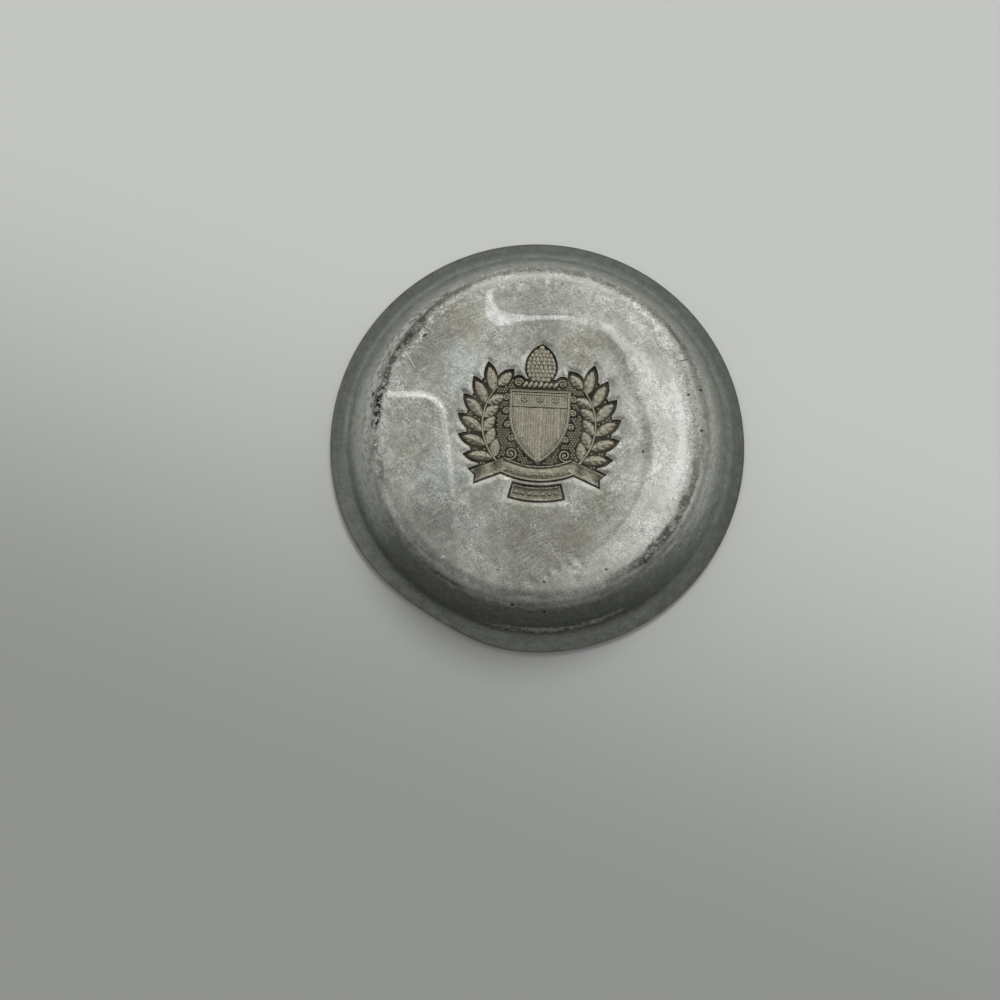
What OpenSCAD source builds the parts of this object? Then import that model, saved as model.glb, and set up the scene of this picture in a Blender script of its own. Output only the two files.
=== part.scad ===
// Small round pewter dish, lying on its rim with the foot side up.
// A relief badge of struck pieces is let into a pocket in the middle of the underside.
// Millimetres, +Z up, origin on the table under the middle of the dish.

/* [Dish] */
// Diameter over the rim
rim_d = 110; // [106:1:120]
// Height from the rim to the foot pads
dish_h = 16.2; // [14:0.2:19]
// Diameter of the flat part of the foot
foot_d = 77; // [72:1:80]
// Thickness of the wall and the flange
wall_t = 2; // [1.6:0.1:2.4]
// Thickness of the base under the foot pads
base_t = 2.6; // [2.3:0.1:3.4]
// Slope of the wall, degrees from the table
wall_slope = 56.5; // [53:0.5:66]
// Slope of the flange, degrees from the table
flange_slope = 24.5; // [18:0.5:28]
// Radius of the shoulder between foot and wall
shoulder_r = 6; // [4:0.5:8]
// Radius in the crease between wall and flange
crease_r = 1.6; // [0.8:0.1:2.2]
// Width of the flat land under the rim
rim_land = 1.4; // [1.2:0.1:1.8]
// Radius on the edge of the rim
edge_r = 0.5; // [0.3:0.1:0.7]

/* [Pressed panel] */
// Diameter of the pressed panel
panel_d = 64; // [60:0.5:68]
// Panel centre, to the right of the dish centre
panel_x = -5; // [-6:0.5:-3]
// Panel centre, above the dish centre
panel_y = -3; // [-4:0.5:-1]
// Diameter of the bulge at the upper right of the panel
bulge_d = 36; // [32:0.5:38]
// How far the bulge reaches past the panel's edge
bulge_reach = 3; // [1:0.25:4]
// Direction of the bulge, degrees from the right
bulge_angle = 56; // [45:1:65]
// Depth of the panel below the foot pads
panel_depth = 0.45; // [0.25:0.05:0.7]
// Width of the sloped edge of a foot pad
ramp_w = 1.6; // [0.8:0.1:2.4]
// Left edge of the upper end of the crescent pad
channel_x = -12.5; // [-15:0.5:-8]
// Left edge of the lower end of the crescent pad
outlet_x = -6.5; // [-9:0.5:-3]
// Upper edge of the left pad
left_pad_y = 9.5; // [6:0.5:13]
// Right edge of the left pad at its upper corner
left_pad_x = -24.2; // [-26:0.2:-23]
// Lean of the right edge of the left pad
left_pad_lean = 7.5; // [6:0.5:14]
// Corner radius of the left pad
left_pad_r = 5.5; // [2:0.5:6]

/* [Badge] */
// Badge centre above the dish centre
badge_y = 1.8; // [-1:0.2:4]
// Turn of the badge
badge_turn = -2.7; // [-8:0.1:8]
// Thickness of the ground plate
ground_t = 0.4; // [0.3:0.05:0.6]
// Ground that shows outside the relief
ground_margin = 0.5; // [0.3:0.05:0.7]
// How far the highest relief stays below the panel
badge_sink = 0.1; // [0.05:0.05:0.3]
// Side clearance of a plate in its pocket
fit_gap = 0.06; // [0.04:0.02:0.12]
// Width of the ground under each stem
web_w = 7; // [4:0.5:8]
// Gap between neighbouring relief pieces
piece_gap = 0.5; // [0.3:0.05:0.7]

/* [Shield] */
// Width of the shield
shield_w = 15.2; // [13:0.2:17]
// Height of its straight sides
shield_side = 5.5; // [4:0.25:7]
// Top edge of the shield above the badge centre
shield_top = 8.6; // [7:0.2:10]
// Height of the shield's border
shield_rise = 0.6; // [0.5:0.05:0.7]
// Depth of the field below the border
field_depth = 0.22; // [0.1:0.02:0.3]
// Width of the border
border_w = 0.9; // [0.6:0.1:1.4]
// Height of the plain band across the top of the field
band_h = 3.6; // [3:0.2:4.4]
// Width of one upright bar in the field
bar_w = 1.5; // [0.8:0.1:2]
// Number of upright bars
bar_count = 3; // [2:1:4]
// Diameter of the studs on the band
stud_d = 2; // [1.4:0.2:2.4]
// Diameter of the curls along its sides
shield_curl_d = 2.2; // [1.6:0.1:2.4]
// Number of curls along one side
shield_curl_count = 4; // [2:1:4]
// Spacing of the curls
shield_curl_step = 3.4; // [2.8:0.1:3.6]

/* [Leaf sprays] */
// Length of an outer leaf
leaf_l = 7; // [5:0.2:8]
// Length of an inner leaf
inner_leaf_l = 5.2; // [4:0.2:6]
// Width of a leaf
leaf_w = 2.5; // [1.8:0.1:3]
// Spacing of the leaves along the stem
leaf_step = 3.6; // [3.2:0.1:4.2]
// Number of outer leaves on a stem
leaf_count = 6; // [4:1:6]
// Angle between a leaf and the stem
leaf_splay = 45; // [34:1:52]
// Where the stem starts, degrees round the badge centre
spray_start = 220; // [212:1:224]
// Width of the stem
stem_w = 0.8; // [0.5:0.1:1.2]
// Height of the sprays above the ground plate
spray_rise = 0.45; // [0.3:0.05:0.6]
// Width of the groove along a leaf
vein_w = 0.32; // [0.2:0.02:0.5]

/* [Crest] */
// How far the twisted bar stops short of each side of the shield
torse_inset = 3.2; // [2.4:0.1:4]
// Height of the twisted bar
torse_h = 1.7; // [1.2:0.1:2.2]
// Width of the seed cone
cone_w = 7.2; // [6:0.2:8]
// Length of the cone's pointed end
cone_tip = 5.6; // [4:0.2:7]
// Diameter of the curls beside the twisted bar
curl_d = 2.6; // [2:0.2:3.4]
// Height of the crest above the ground plate
crest_rise = 0.6; // [0.4:0.05:0.7]
// Spacing of the cuts in the cone and the twisted bar
cut_step = 1.5; // [1:0.1:2]
// Width of those cuts
cut_w = 0.34; // [0.2:0.02:0.5]

/* [Ribbon and lower scroll] */
// Radius of the ribbon's middle line
ribbon_r = 20; // [16:0.5:26]
// Width of the ribbon
ribbon_w = 3.6; // [2.8:0.1:4.2]
// Half the angle that the ribbon spans
ribbon_half = 27; // [20:1:28]
// Height of the ribbon above the ground plate
ribbon_rise = 0.55; // [0.4:0.05:0.65]
// Diameter of the scrolls that stand on the ribbon
ribbon_curl_d = 3.6; // [2.8:0.1:4]
// Angle of those scrolls from the middle of the ribbon
ribbon_curl_angle = 23.5; // [22:0.5:25]
// Length of a folded tail
tail_l = 7; // [5:0.2:8]
// Width of a folded tail
tail_w = 3; // [2:0.1:3.4]
// Turn of a tail from the line of the ribbon
tail_turn = 50; // [40:1:60]
// Height of a tail above the ground plate
tail_rise = 0.3; // [0.2:0.05:0.4]
// Width of the lower scroll
scroll_w = 3.2; // [2.4:0.1:3.6]
// Half the angle that the lower scroll spans
scroll_half = 14; // [10:1:18]
// Height of the lower scroll above its plate
scroll_rise = 0.5; // [0.3:0.05:0.6]
// Width of the scroll's raised border
scroll_border = 0.5; // [0.3:0.05:0.8]
// Depth of its bare panel below the border
scroll_panel = 0.15; // [0.1:0.05:0.25]
// Metal left between the ribbon's pocket and the scroll's
scroll_wall = 0.6; // [0.4:0.05:1]

/* [Hidden] */
$fn = 96;

pewter = [0.56, 0.57, 0.55];
badge_metal = [0.43, 0.41, 0.37];

// Steps in one rounded corner of an outline
arc_steps = 14;

// Dish section: outer surface
rim_r = rim_d / 2;
foot_r = foot_d / 2;
slope_ratio = tan(flange_slope) / tan(wall_slope);
rim_t = wall_t / cos(flange_slope) - rim_land * tan(flange_slope);
knee_r = foot_r + shoulder_r * tan(wall_slope / 2);
crease_run = rim_r - knee_r - dish_h / tan(wall_slope);
crease_z = (rim_t + crease_run * tan(flange_slope)) / (1 - slope_ratio);
crease_x = knee_r + (dish_h - crease_z) / tan(wall_slope);

// Dish section: surface of the hollow
floor_z = dish_h - base_t;
hollow_r = knee_r - wall_t * sin(wall_slope) + (base_t - wall_t * cos(wall_slope)) / tan(wall_slope);
mouth_r = rim_r - rim_land;
hollow_run = mouth_r - hollow_r - floor_z / tan(wall_slope);
hollow_z = hollow_run * tan(flange_slope) / (1 - slope_ratio);
hollow_x = hollow_r + (floor_z - hollow_z) / tan(wall_slope);

// Pressed panel
panel_r = panel_d / 2;
panel_z = dish_h - panel_depth;
bulge_r = bulge_d / 2;
bulge_out = panel_r + bulge_reach - bulge_r;
bulge_at = [panel_x, panel_y] + bulge_out * [cos(bulge_angle), sin(bulge_angle)];
// Cuts from above stop this far over the panel, clear of the foot pads
cut_over = 2 * panel_depth;

// Badge heights
relief_max = max(shield_rise, spray_rise, crest_rise, ribbon_rise, scroll_rise);
pocket_depth = ground_t + relief_max + badge_sink;
pocket_z = panel_z - pocket_depth;

// Badge layout
shield_tip = shield_top - shield_side - shield_w * sin(60);
spray_r = shield_w / 2 + inner_leaf_l * sin(leaf_splay) + leaf_w / 2 + 3 * piece_gap;
leaf_pitch = leaf_step / spray_r * 180 / PI;
spray_end = spray_start - (leaf_count - 1) * leaf_pitch - leaf_pitch / 2;
torse_w = shield_w - 2 * torse_inset;
torse_y = shield_top + piece_gap + torse_h / 2;
cone_y = torse_y + torse_h / 2 + cone_w / 2 - piece_gap / 2;
cone_arc_r = (cone_tip * cone_tip + cone_w * cone_w / 4) / cone_w;
ribbon_y = shield_tip - piece_gap - ribbon_w / 2 + ribbon_r;
scroll_r = ribbon_r + ribbon_w / 2 + scroll_w / 2 + 2 * (ground_margin + fit_gap) + scroll_wall;

// Corner p of an outline, rounded to radius r between its neighbours a and b
function unit(v) = v / norm(v);
function round_corner(a, p, b, r) =
    let (
        u = unit(a - p),
        v = unit(b - p),
        half = acos(u * v) / 2,
        centre = p + unit(u + v) * r / sin(half),
        start = p + u * r / tan(half) - centre,
        sweep = (180 - 2 * half) * sign(u.x * v.y - u.y * v.x) * -1
    )
    [for (i = [0 : arc_steps])
        let (turn = sweep * i / arc_steps)
        centre + [
            start.x * cos(turn) - start.y * sin(turn),
            start.x * sin(turn) + start.y * cos(turn)
        ]];

// Outline through corners given as [x, y, radius]
function flat_point(c) = [c.x, c.y];
function rounded(corners) =
    let (n = len(corners))
    [for (i = [0 : n - 1])
        let (c = corners[i])
        each c.z == 0
            ? [flat_point(c)]
            : round_corner(
                flat_point(corners[(i + n - 1) % n]),
                flat_point(c),
                flat_point(corners[(i + 1) % n]),
                c.z
            )];

// Half section of the dish, with walls of even thickness
module dish_section() {
    polygon(rounded([
        [0, dish_h, 0],
        [knee_r, dish_h, shoulder_r],
        [crease_x, crease_z, crease_r],
        [rim_r, rim_t, edge_r],
        [rim_r, 0, edge_r],
        [mouth_r, 0, 0],
        [hollow_x, hollow_z, crease_r + wall_t],
        [hollow_r, floor_z, shoulder_r - wall_t],
        [0, floor_z, 0]
    ]));
}

// Outline of the left pad, moved outward by grow
function left_pad_edge(grow) =
    let (
        top = left_pad_y + grow,
        side = left_pad_x + grow / cos(left_pad_lean)
    )
    rounded([
        [-rim_r, top, 0],
        [-rim_r, -rim_r, 0],
        [side + (left_pad_y + rim_r) * tan(left_pad_lean), -rim_r, 0],
        [side - grow * tan(left_pad_lean), top, left_pad_r + grow]
    ]);

// Raised pad at the left, with sloped edges
module left_pad() {
    hull() {
        linear_extrude(panel_depth / 10) polygon(left_pad_edge(ramp_w / 2));
        translate([0, 0, cut_over]) linear_extrude(panel_depth) polygon(left_pad_edge(-1.5 * ramp_w));
    }
}

// Slot that runs out to the shoulder, open to the left of x and sloped along that side
module side_slot(x, length) {
    rotate([90, 0, 0])
        linear_extrude(length)
            polygon([
                [-rim_r, 0],
                [x - ramp_w / 2, 0],
                [x + 1.5 * ramp_w, cut_over],
                [-rim_r, cut_over]
            ]);
}

// Round sink of radius r with a sloped edge
module round_sink(r) {
    cylinder(h = cut_over, r1 = r - ramp_w / 2, r2 = r + 1.5 * ramp_w);
}

// What is pressed down between the two foot pads
module pressed_panel() {
    translate([0, 0, panel_z])
        difference() {
            union() {
                translate([panel_x, panel_y, 0]) round_sink(panel_r);
                translate(bulge_at) round_sink(bulge_r);
                translate([0, rim_r, 0]) side_slot(channel_x, rim_r - panel_y);
                translate([0, panel_y, 0]) side_slot(outlet_x, rim_r + panel_y);
            }
            left_pad();
        }
}

// Children placed on the floor of the badge pocket
module on_badge() {
    translate([0, badge_y, pocket_z]) rotate(badge_turn) children();
}

// Part of a ring of mean radius r between two angles, grown all round
module ring_part(r, width, from, to, grow = 0) {
    spread = grow / r * 180 / PI;
    reach = 2 * (r + width);
    middle = (from + to) / 2;
    intersection() {
        difference() {
            circle(r = r + width / 2 + grow);
            circle(r = r - width / 2 - grow);
        }
        polygon([
            [0, 0],
            reach * [cos(from - spread), sin(from - spread)],
            reach * [cos(middle), sin(middle)],
            reach * [cos(to + spread), sin(to + spread)]
        ]);
    }
}

// Pointed leaf from the origin along +Y
module leaf(length, grow = 0) {
    arc_r = (length * length + leaf_w * leaf_w) / (4 * leaf_w);
    intersection() {
        translate([arc_r - leaf_w / 2, length / 2]) circle(r = arc_r + grow);
        translate([leaf_w / 2 - arc_r, length / 2]) circle(r = arc_r + grow);
    }
}

// Children turned to grow from the stem at an angle round the badge centre
module from_stem(angle, splay) {
    translate(spray_r * [cos(angle), sin(angle)]) rotate(angle - 180 + splay) children();
}

// Leaves of one spray: $length is set for the children
module each_leaf() {
    for (i = [0 : leaf_count - 1]) {
        angle = spray_start - i * leaf_pitch;
        $length = leaf_l;
        from_stem(angle, leaf_splay) children();
    }
    for (i = [0 : leaf_count - 2]) {
        angle = spray_start - i * leaf_pitch;
        $length = inner_leaf_l;
        from_stem(angle, -leaf_splay) children();
    }
    $length = inner_leaf_l;
    from_stem(spray_end, 0) children();
}

module spray_shape(grow = 0) {
    ring_part(spray_r, stem_w, spray_end, spray_start + leaf_pitch / 4, grow);
    each_leaf() leaf($length, grow);
}

module shield_shape(grow = 0) {
    side_y = shield_top - shield_side;
    translate([-shield_w / 2 - grow, side_y]) square([shield_w + 2 * grow, shield_side + grow]);
    intersection() {
        translate([shield_w / 2, side_y]) circle(r = shield_w + grow);
        translate([-shield_w / 2, side_y]) circle(r = shield_w + grow);
        translate([-shield_w, side_y - 2 * shield_w]) square(2 * shield_w);
    }
}

module torse_shape(grow = 0) {
    size = [torse_w + 2 * grow, torse_h + 2 * grow];
    translate([0, torse_y]) square(size, center = true);
}

module cone_shape(grow = 0) {
    translate([0, cone_y]) {
        circle(d = cone_w + 2 * grow);
        intersection() {
            translate([cone_arc_r - cone_w / 2, 0]) circle(r = cone_arc_r + grow);
            translate([cone_w / 2 - cone_arc_r, 0]) circle(r = cone_arc_r + grow);
            translate([-cone_w, 0]) square(2 * cone_w);
        }
    }
}

// Rolled-up end of diameter d: a low disc with a raised rim and a raised eye
module curl(d, rise) {
    linear_extrude(rise / 2) circle(d = d);
    linear_extrude(rise) {
        difference() {
            circle(d = d);
            circle(d = d / 2);
        }
        circle(d = d / 3);
    }
}

// Children at the curls along both sides of the shield
module at_shield_curls() {
    side_y = shield_top - shield_side;
    for (side = [-1, 1], i = [0 : shield_curl_count - 1]) {
        down = shield_curl_d + i * shield_curl_step;
        bend = max(0, down - shield_side) / shield_w * 180 / PI;
        out = shield_w + shield_curl_d * 0.3;
        translate([
            side * (out * cos(bend) - shield_w / 2),
            side_y + max(0, shield_side - down) - out * sin(bend)
        ])
            children();
    }
}

// Children at the two curls beside the twisted bar
module at_torse_curls() {
    for (side = [-1, 1])
        translate([side * (torse_w / 2 + curl_d * 0.4), torse_y + torse_h / 4]) children();
}

// Children at the two scrolls that stand on the ribbon
module at_ribbon_curls() {
    for (side = [-1, 1])
        translate([0, ribbon_y])
            rotate(270 + side * ribbon_curl_angle)
                translate([ribbon_r - ribbon_w / 2 - ribbon_curl_d * 0.42, 0]) children();
}

module crest_shape(grow = 0) {
    torse_shape(grow);
    cone_shape(grow);
    at_torse_curls() circle(d = curl_d + 2 * grow);
}

module ribbon_band(grow = 0) {
    translate([0, ribbon_y])
        ring_part(ribbon_r, ribbon_w, 270 - ribbon_half, 270 + ribbon_half, grow);
}

// Folded tails, each with a swallow-tail end
module ribbon_tails(grow = 0) {
    notch = tail_w / 3;
    for (side = [-1, 1])
        translate([0, ribbon_y])
            rotate(270 + side * ribbon_half)
                translate([ribbon_r + ribbon_w / 5, 0])
                    rotate(side * (90 - tail_turn))
                        polygon([
                            [-tail_w / 2, -tail_w / 2 - grow],
                            [tail_l + grow, -tail_w / 2 - grow],
                            [tail_l - notch + grow, 0],
                            [tail_l + grow, tail_w / 2 + grow],
                            [-tail_w / 2, tail_w / 2 + grow]
                        ]);
}

module scroll_shape(grow = 0) {
    translate([0, ribbon_y])
        ring_part(scroll_r, scroll_w, 270 - scroll_half, 270 + scroll_half, grow);
}

// Ground between the shield and the two stems
module field_shape(grow = 0) {
    intersection() {
        circle(r = spray_r + grow);
        translate([-2 * spray_r, torse_y + torse_h / 2 + grow - 4 * spray_r]) square(4 * spray_r);
    }
}

// Outline of the ground plate, grown all round
module badge_shape(grow = 0) {
    ribbon_tails(grow);
    ribbon_band(grow);
    at_ribbon_curls() circle(d = ribbon_curl_d + 2 * grow);
    field_shape(grow);
    shield_shape(grow);
    crest_shape(grow);
    for (side = [0, 1])
        mirror([side, 0, 0]) {
            spray_shape(grow);
            ring_part(spray_r, web_w, spray_end, spray_start + leaf_pitch / 4, grow);
        }
}

// Groove of right-angled section along +Y, centred on the top plane
module groove(length, width) {
    rotate([0, 45, 0]) cube([width, length, width], center = true);
}

module dish_shell() {
    color(pewter)
        difference() {
            rotate_extrude() dish_section();
            pressed_panel();
            on_badge() {
                linear_extrude(pocket_depth + cut_over) badge_shape(ground_margin + fit_gap);
                linear_extrude(pocket_depth + cut_over) scroll_shape(ground_margin + fit_gap);
            }
        }
}

module badge_ground() {
    color(badge_metal) on_badge() linear_extrude(ground_t) badge_shape(ground_margin);
}

module shield() {
    field_t = shield_rise - field_depth;
    side_y = shield_top - border_w - band_h;
    bar_pitch = (shield_w - 2 * border_w) / bar_count;
    color(badge_metal)
        on_badge()
            translate([0, 0, ground_t]) {
                linear_extrude(field_t) shield_shape();
                linear_extrude(shield_rise)
                    difference() {
                        shield_shape();
                        shield_shape(-border_w);
                    }
                linear_extrude(shield_rise)
                    intersection() {
                        shield_shape();
                        union() {
                            translate([-shield_w / 2, side_y]) square([shield_w, bar_w / 2]);
                            for (i = [0 : bar_count - 1])
                                translate([(i - (bar_count - 1) / 2) * bar_pitch - bar_w / 2, shield_tip])
                                    square([bar_w, side_y - shield_tip]);
                        }
                    }
                at_shield_curls() curl(shield_curl_d, spray_rise);
                for (i = [-1, 0, 1])
                    translate([i * shield_w / 4, shield_top - border_w - band_h / 2, 0])
                        cylinder(d = stud_d, h = shield_rise);
            }
}

module spray() {
    difference() {
        linear_extrude(spray_rise)
            difference() {
                spray_shape();
                shield_shape(piece_gap);
                at_shield_curls() circle(d = shield_curl_d + 2 * piece_gap);
                crest_shape(piece_gap);
                ribbon_band(piece_gap);
                ribbon_tails(piece_gap);
                at_ribbon_curls() circle(d = ribbon_curl_d + 2 * piece_gap);
            }
        translate([0, 0, spray_rise])
            each_leaf()
                translate([0, $length / 2, 0]) groove($length * 0.7, vein_w);
    }
}

module left_spray() {
    color(badge_metal) on_badge() translate([0, 0, ground_t]) spray();
}

module right_spray() {
    color(badge_metal) on_badge() translate([0, 0, ground_t]) mirror([1, 0, 0]) spray();
}

module crest() {
    cone_l = cone_w / 2 + cone_tip;
    cuts = ceil(cone_l / cut_step);
    twists = floor(torse_w / cut_step);
    color(badge_metal)
        on_badge()
            translate([0, 0, ground_t]) {
                difference() {
                    linear_extrude(crest_rise) cone_shape();
                    translate([0, cone_y + (cone_tip - cone_w / 2) / 2, crest_rise])
                        for (side = [-1, 1], i = [-cuts / 2 : cuts / 2])
                            translate([0, i * cut_step, 0])
                                rotate(side * 60) groove(2 * cone_l, side < 0 ? cut_w : cut_w * 0.8);
                }
                difference() {
                    linear_extrude(crest_rise) torse_shape();
                    translate([0, torse_y, crest_rise])
                        for (i = [-(twists - 1) / 2 : (twists - 1) / 2])
                            translate([i * cut_step, 0, 0]) rotate(-30) groove(2 * torse_h, cut_w);
                }
                at_torse_curls() curl(curl_d, spray_rise);
            }
}

module ribbon() {
    color(badge_metal)
        on_badge()
            translate([0, 0, ground_t]) {
                linear_extrude(ribbon_rise) ribbon_band();
                linear_extrude(tail_rise) ribbon_tails();
                at_ribbon_curls() curl(ribbon_curl_d, ribbon_rise - tail_rise / 2);
            }
}

module lower_scroll() {
    color(badge_metal)
        on_badge() {
            linear_extrude(ground_t) scroll_shape(ground_margin);
            linear_extrude(ground_t + scroll_rise - scroll_panel) scroll_shape();
            linear_extrude(ground_t + scroll_rise)
                difference() {
                    scroll_shape();
                    scroll_shape(-scroll_border);
                }
        }
}

dish_shell();
badge_ground();
shield();
left_spray();
right_spray();
crest();
ribbon();
lower_scroll();
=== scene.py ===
"""Looks of a small pewter dish that lies on its rim with the foot side up.

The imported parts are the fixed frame. One new mesh stands for the dish and one for each relief piece of the
badge that is let into its underside. Lengths are written in millimetres and turned to metres by MM.
"""

import math

import bmesh
import bpy
from mathutils import Matrix, Vector, bvhtree, kdtree, noise


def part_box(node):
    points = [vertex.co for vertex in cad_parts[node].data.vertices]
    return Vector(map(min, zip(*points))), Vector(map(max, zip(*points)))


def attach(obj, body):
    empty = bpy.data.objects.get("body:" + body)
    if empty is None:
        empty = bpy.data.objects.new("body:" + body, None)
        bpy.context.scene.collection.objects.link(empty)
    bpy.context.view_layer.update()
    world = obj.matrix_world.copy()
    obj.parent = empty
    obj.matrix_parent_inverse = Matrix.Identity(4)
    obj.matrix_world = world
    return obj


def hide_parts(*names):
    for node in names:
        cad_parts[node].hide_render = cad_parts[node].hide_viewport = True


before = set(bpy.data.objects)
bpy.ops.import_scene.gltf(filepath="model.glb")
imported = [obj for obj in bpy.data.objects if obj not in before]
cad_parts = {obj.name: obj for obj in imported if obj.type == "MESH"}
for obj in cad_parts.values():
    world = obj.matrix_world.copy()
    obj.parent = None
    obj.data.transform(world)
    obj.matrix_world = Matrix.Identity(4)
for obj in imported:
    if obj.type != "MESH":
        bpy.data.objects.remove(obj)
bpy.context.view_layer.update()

MM = 0.001

# Tolerances of the meshes, and the least half width that keeps a relief's tip open
MERGE_DIST = 0.002
WEDGE_MERGE_DIST = 0.001
LEVEL_TOLERANCE = 0.01
PLATE_TOLERANCE = 0.02
LEVEL_NORMAL = 0.5
SHARP_ANGLE = math.radians(42)
LEAST_HALF = 0.05

# Dish section, the same sizes as the parts
RIM_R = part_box("dish_shell")[1].x / MM
DISH_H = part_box("dish_shell")[1].z / MM
FOOT_R = 38.5
WALL_T = 2.0
BASE_T = 2.6
WALL_SLOPE = math.radians(56.5)
FLANGE_SLOPE = math.radians(24.5)
SHOULDER_R = 6.0
CREASE_R = 2.2
RIM_LAND = 1.4
EDGE_R = 0.5

# Outer corners of the section before rounding
SLOPE_RATIO = math.tan(FLANGE_SLOPE) / math.tan(WALL_SLOPE)
RIM_T = WALL_T / math.cos(FLANGE_SLOPE) - RIM_LAND * math.tan(FLANGE_SLOPE)
KNEE_R = FOOT_R + SHOULDER_R * math.tan(WALL_SLOPE / 2)
CREASE_RUN = RIM_R - KNEE_R - DISH_H / math.tan(WALL_SLOPE)
CREASE_Z = (RIM_T + CREASE_RUN * math.tan(FLANGE_SLOPE)) / (1 - SLOPE_RATIO)
CREASE_X = KNEE_R + (DISH_H - CREASE_Z) / math.tan(WALL_SLOPE)

# Corners of the hollow before rounding
FLOOR_Z = DISH_H - BASE_T
HOLLOW_R = (
    KNEE_R
    - WALL_T * math.sin(WALL_SLOPE)
    + (BASE_T - WALL_T * math.cos(WALL_SLOPE)) / math.tan(WALL_SLOPE)
)
MOUTH_R = RIM_R - RIM_LAND
HOLLOW_RUN = MOUTH_R - HOLLOW_R - FLOOR_Z / math.tan(WALL_SLOPE)
HOLLOW_Z = HOLLOW_RUN * math.tan(FLANGE_SLOPE) / (1 - SLOPE_RATIO)
HOLLOW_X = HOLLOW_R + (FLOOR_Z - HOLLOW_Z) / math.tan(WALL_SLOPE)

# Pressed panel and foot pads
PANEL_R = 32.0
PANEL_AT = Vector((-5.0, -3.0))
BULGE_R = 18.0
BULGE_REACH = 3.0
BULGE_ANGLE = math.radians(56)
BULGE_WAY = Vector((math.cos(BULGE_ANGLE), math.sin(BULGE_ANGLE)))
BULGE_AT = PANEL_AT + (PANEL_R + BULGE_REACH - BULGE_R) * BULGE_WAY
PANEL_DEPTH = 0.45
RAMP_SHIFT = 0.3
CHANNEL_X = -12.5
OUTLET_X = -6.5
CRESCENT_TIP_R = 4.5
LEFT_PAD_X = -24.2
LEFT_PAD_Y = 9.5
LEFT_PAD_LEAN = math.radians(7.5)
LEFT_PAD_R = 5.5

# Badge, the same layout as the parts
BADGE_Y = 1.8
BADGE_TURN = math.radians(-2.7)
BADGE_REACH = 24.0
GROUND_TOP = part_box("badge_ground")[1].z / MM
BADGE_PLACE = Matrix.Translation((0, BADGE_Y, GROUND_TOP)) @ Matrix.Rotation(BADGE_TURN, 4, "Z")
FIT_GAP = 0.06
PIECE_GAP = 0.5
PANEL_Z = DISH_H - PANEL_DEPTH
FOOT_FACE_Z = PANEL_Z - 0.3

SHIELD_W = 15.2
SHIELD_SIDE = 5.5
SHIELD_TOP = 8.6
SHIELD_RISE = 0.6
FIELD_DEPTH = 0.22
BORDER_W = 0.9
BAND_H = 3.6
BAR_W = 1.5
BAR_COUNT = 3
STUD_D = 2.0
SHIELD_CURL_D = 2.2
SHIELD_CURL_COUNT = 4
SHIELD_CURL_STEP = 3.4
SHIELD_SIDE_Y = SHIELD_TOP - SHIELD_SIDE
SHIELD_TIP = SHIELD_SIDE_Y - SHIELD_W * math.sin(math.radians(60))

LEAF_L = 7.0
INNER_LEAF_L = 5.2
LEAF_W = 2.5
LEAF_STEP = 3.6
LEAF_COUNT = 6
LEAF_SPLAY = math.radians(45)
SPRAY_START = math.radians(220)
STEM_W = 0.8
SPRAY_RISE = 0.45
SPRAY_R = SHIELD_W / 2 + INNER_LEAF_L * math.sin(LEAF_SPLAY) + LEAF_W / 2 + 3 * PIECE_GAP
LEAF_PITCH = LEAF_STEP / SPRAY_R
SPRAY_END = SPRAY_START - (LEAF_COUNT - 0.5) * LEAF_PITCH

TORSE_INSET = 3.2
TORSE_W = SHIELD_W - 2 * TORSE_INSET
TORSE_H = 1.7
TORSE_Y = SHIELD_TOP + PIECE_GAP + TORSE_H / 2
CONE_W = 7.2
CONE_TIP = 5.6
CONE_Y = TORSE_Y + TORSE_H / 2 + CONE_W / 2 - PIECE_GAP / 2
CONE_ARC_R = (CONE_TIP ** 2 + CONE_W ** 2 / 4) / CONE_W
CURL_D = 2.6

RIBBON_R = 20.0
RIBBON_W = 3.6
RIBBON_HALF = math.radians(27)
RIBBON_RISE = 0.55
RIBBON_CURL_D = 3.6
RIBBON_CURL_ANGLE = math.radians(23.5)
RIBBON_Y = SHIELD_TIP - PIECE_GAP - RIBBON_W / 2 + RIBBON_R
TAIL_L = 7.0
TAIL_W = 3.0
TAIL_TURN = math.radians(50)
TAIL_RISE = 0.3
SCROLL_W = 3.2
SCROLL_HALF = math.radians(14)
SCROLL_RISE = 0.5
GROUND_MARGIN = 0.5
SCROLL_WALL = 0.6
SCROLL_R = RIBBON_R + RIBBON_W / 2 + SCROLL_W / 2 + 2 * (GROUND_MARGIN + FIT_GAP) + SCROLL_WALL


def smooth_step(low, high, value):
    """0 below low, 1 above high, and an even S curve between them."""
    t = min(max((value - low) / (high - low), 0.0), 1.0)
    return t * t * (3 - 2 * t)


def mix(a, b, t):
    """The value at the share t of the way from a to b."""
    return a + (b - a) * t


def polar(radius, angle, height=0.0):
    """A point at an angle round the Z axis."""
    return radius * math.cos(angle), radius * math.sin(angle), height


def unevenness(x, y, size, seed):
    """Soft noise from -1 to 1, with swellings of about a size."""
    return noise.noise(Vector((x / size, y / size, seed)))


def linear(code):
    """Linear RGBA of an sRGB hex colour."""
    parts = [int(code[i:i + 2], 16) / 255 for i in (1, 3, 5)]
    return [c / 12.92 if c <= 0.04045 else ((c + 0.055) / 1.055) ** 2.4 for c in parts] + [1.0]


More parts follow.
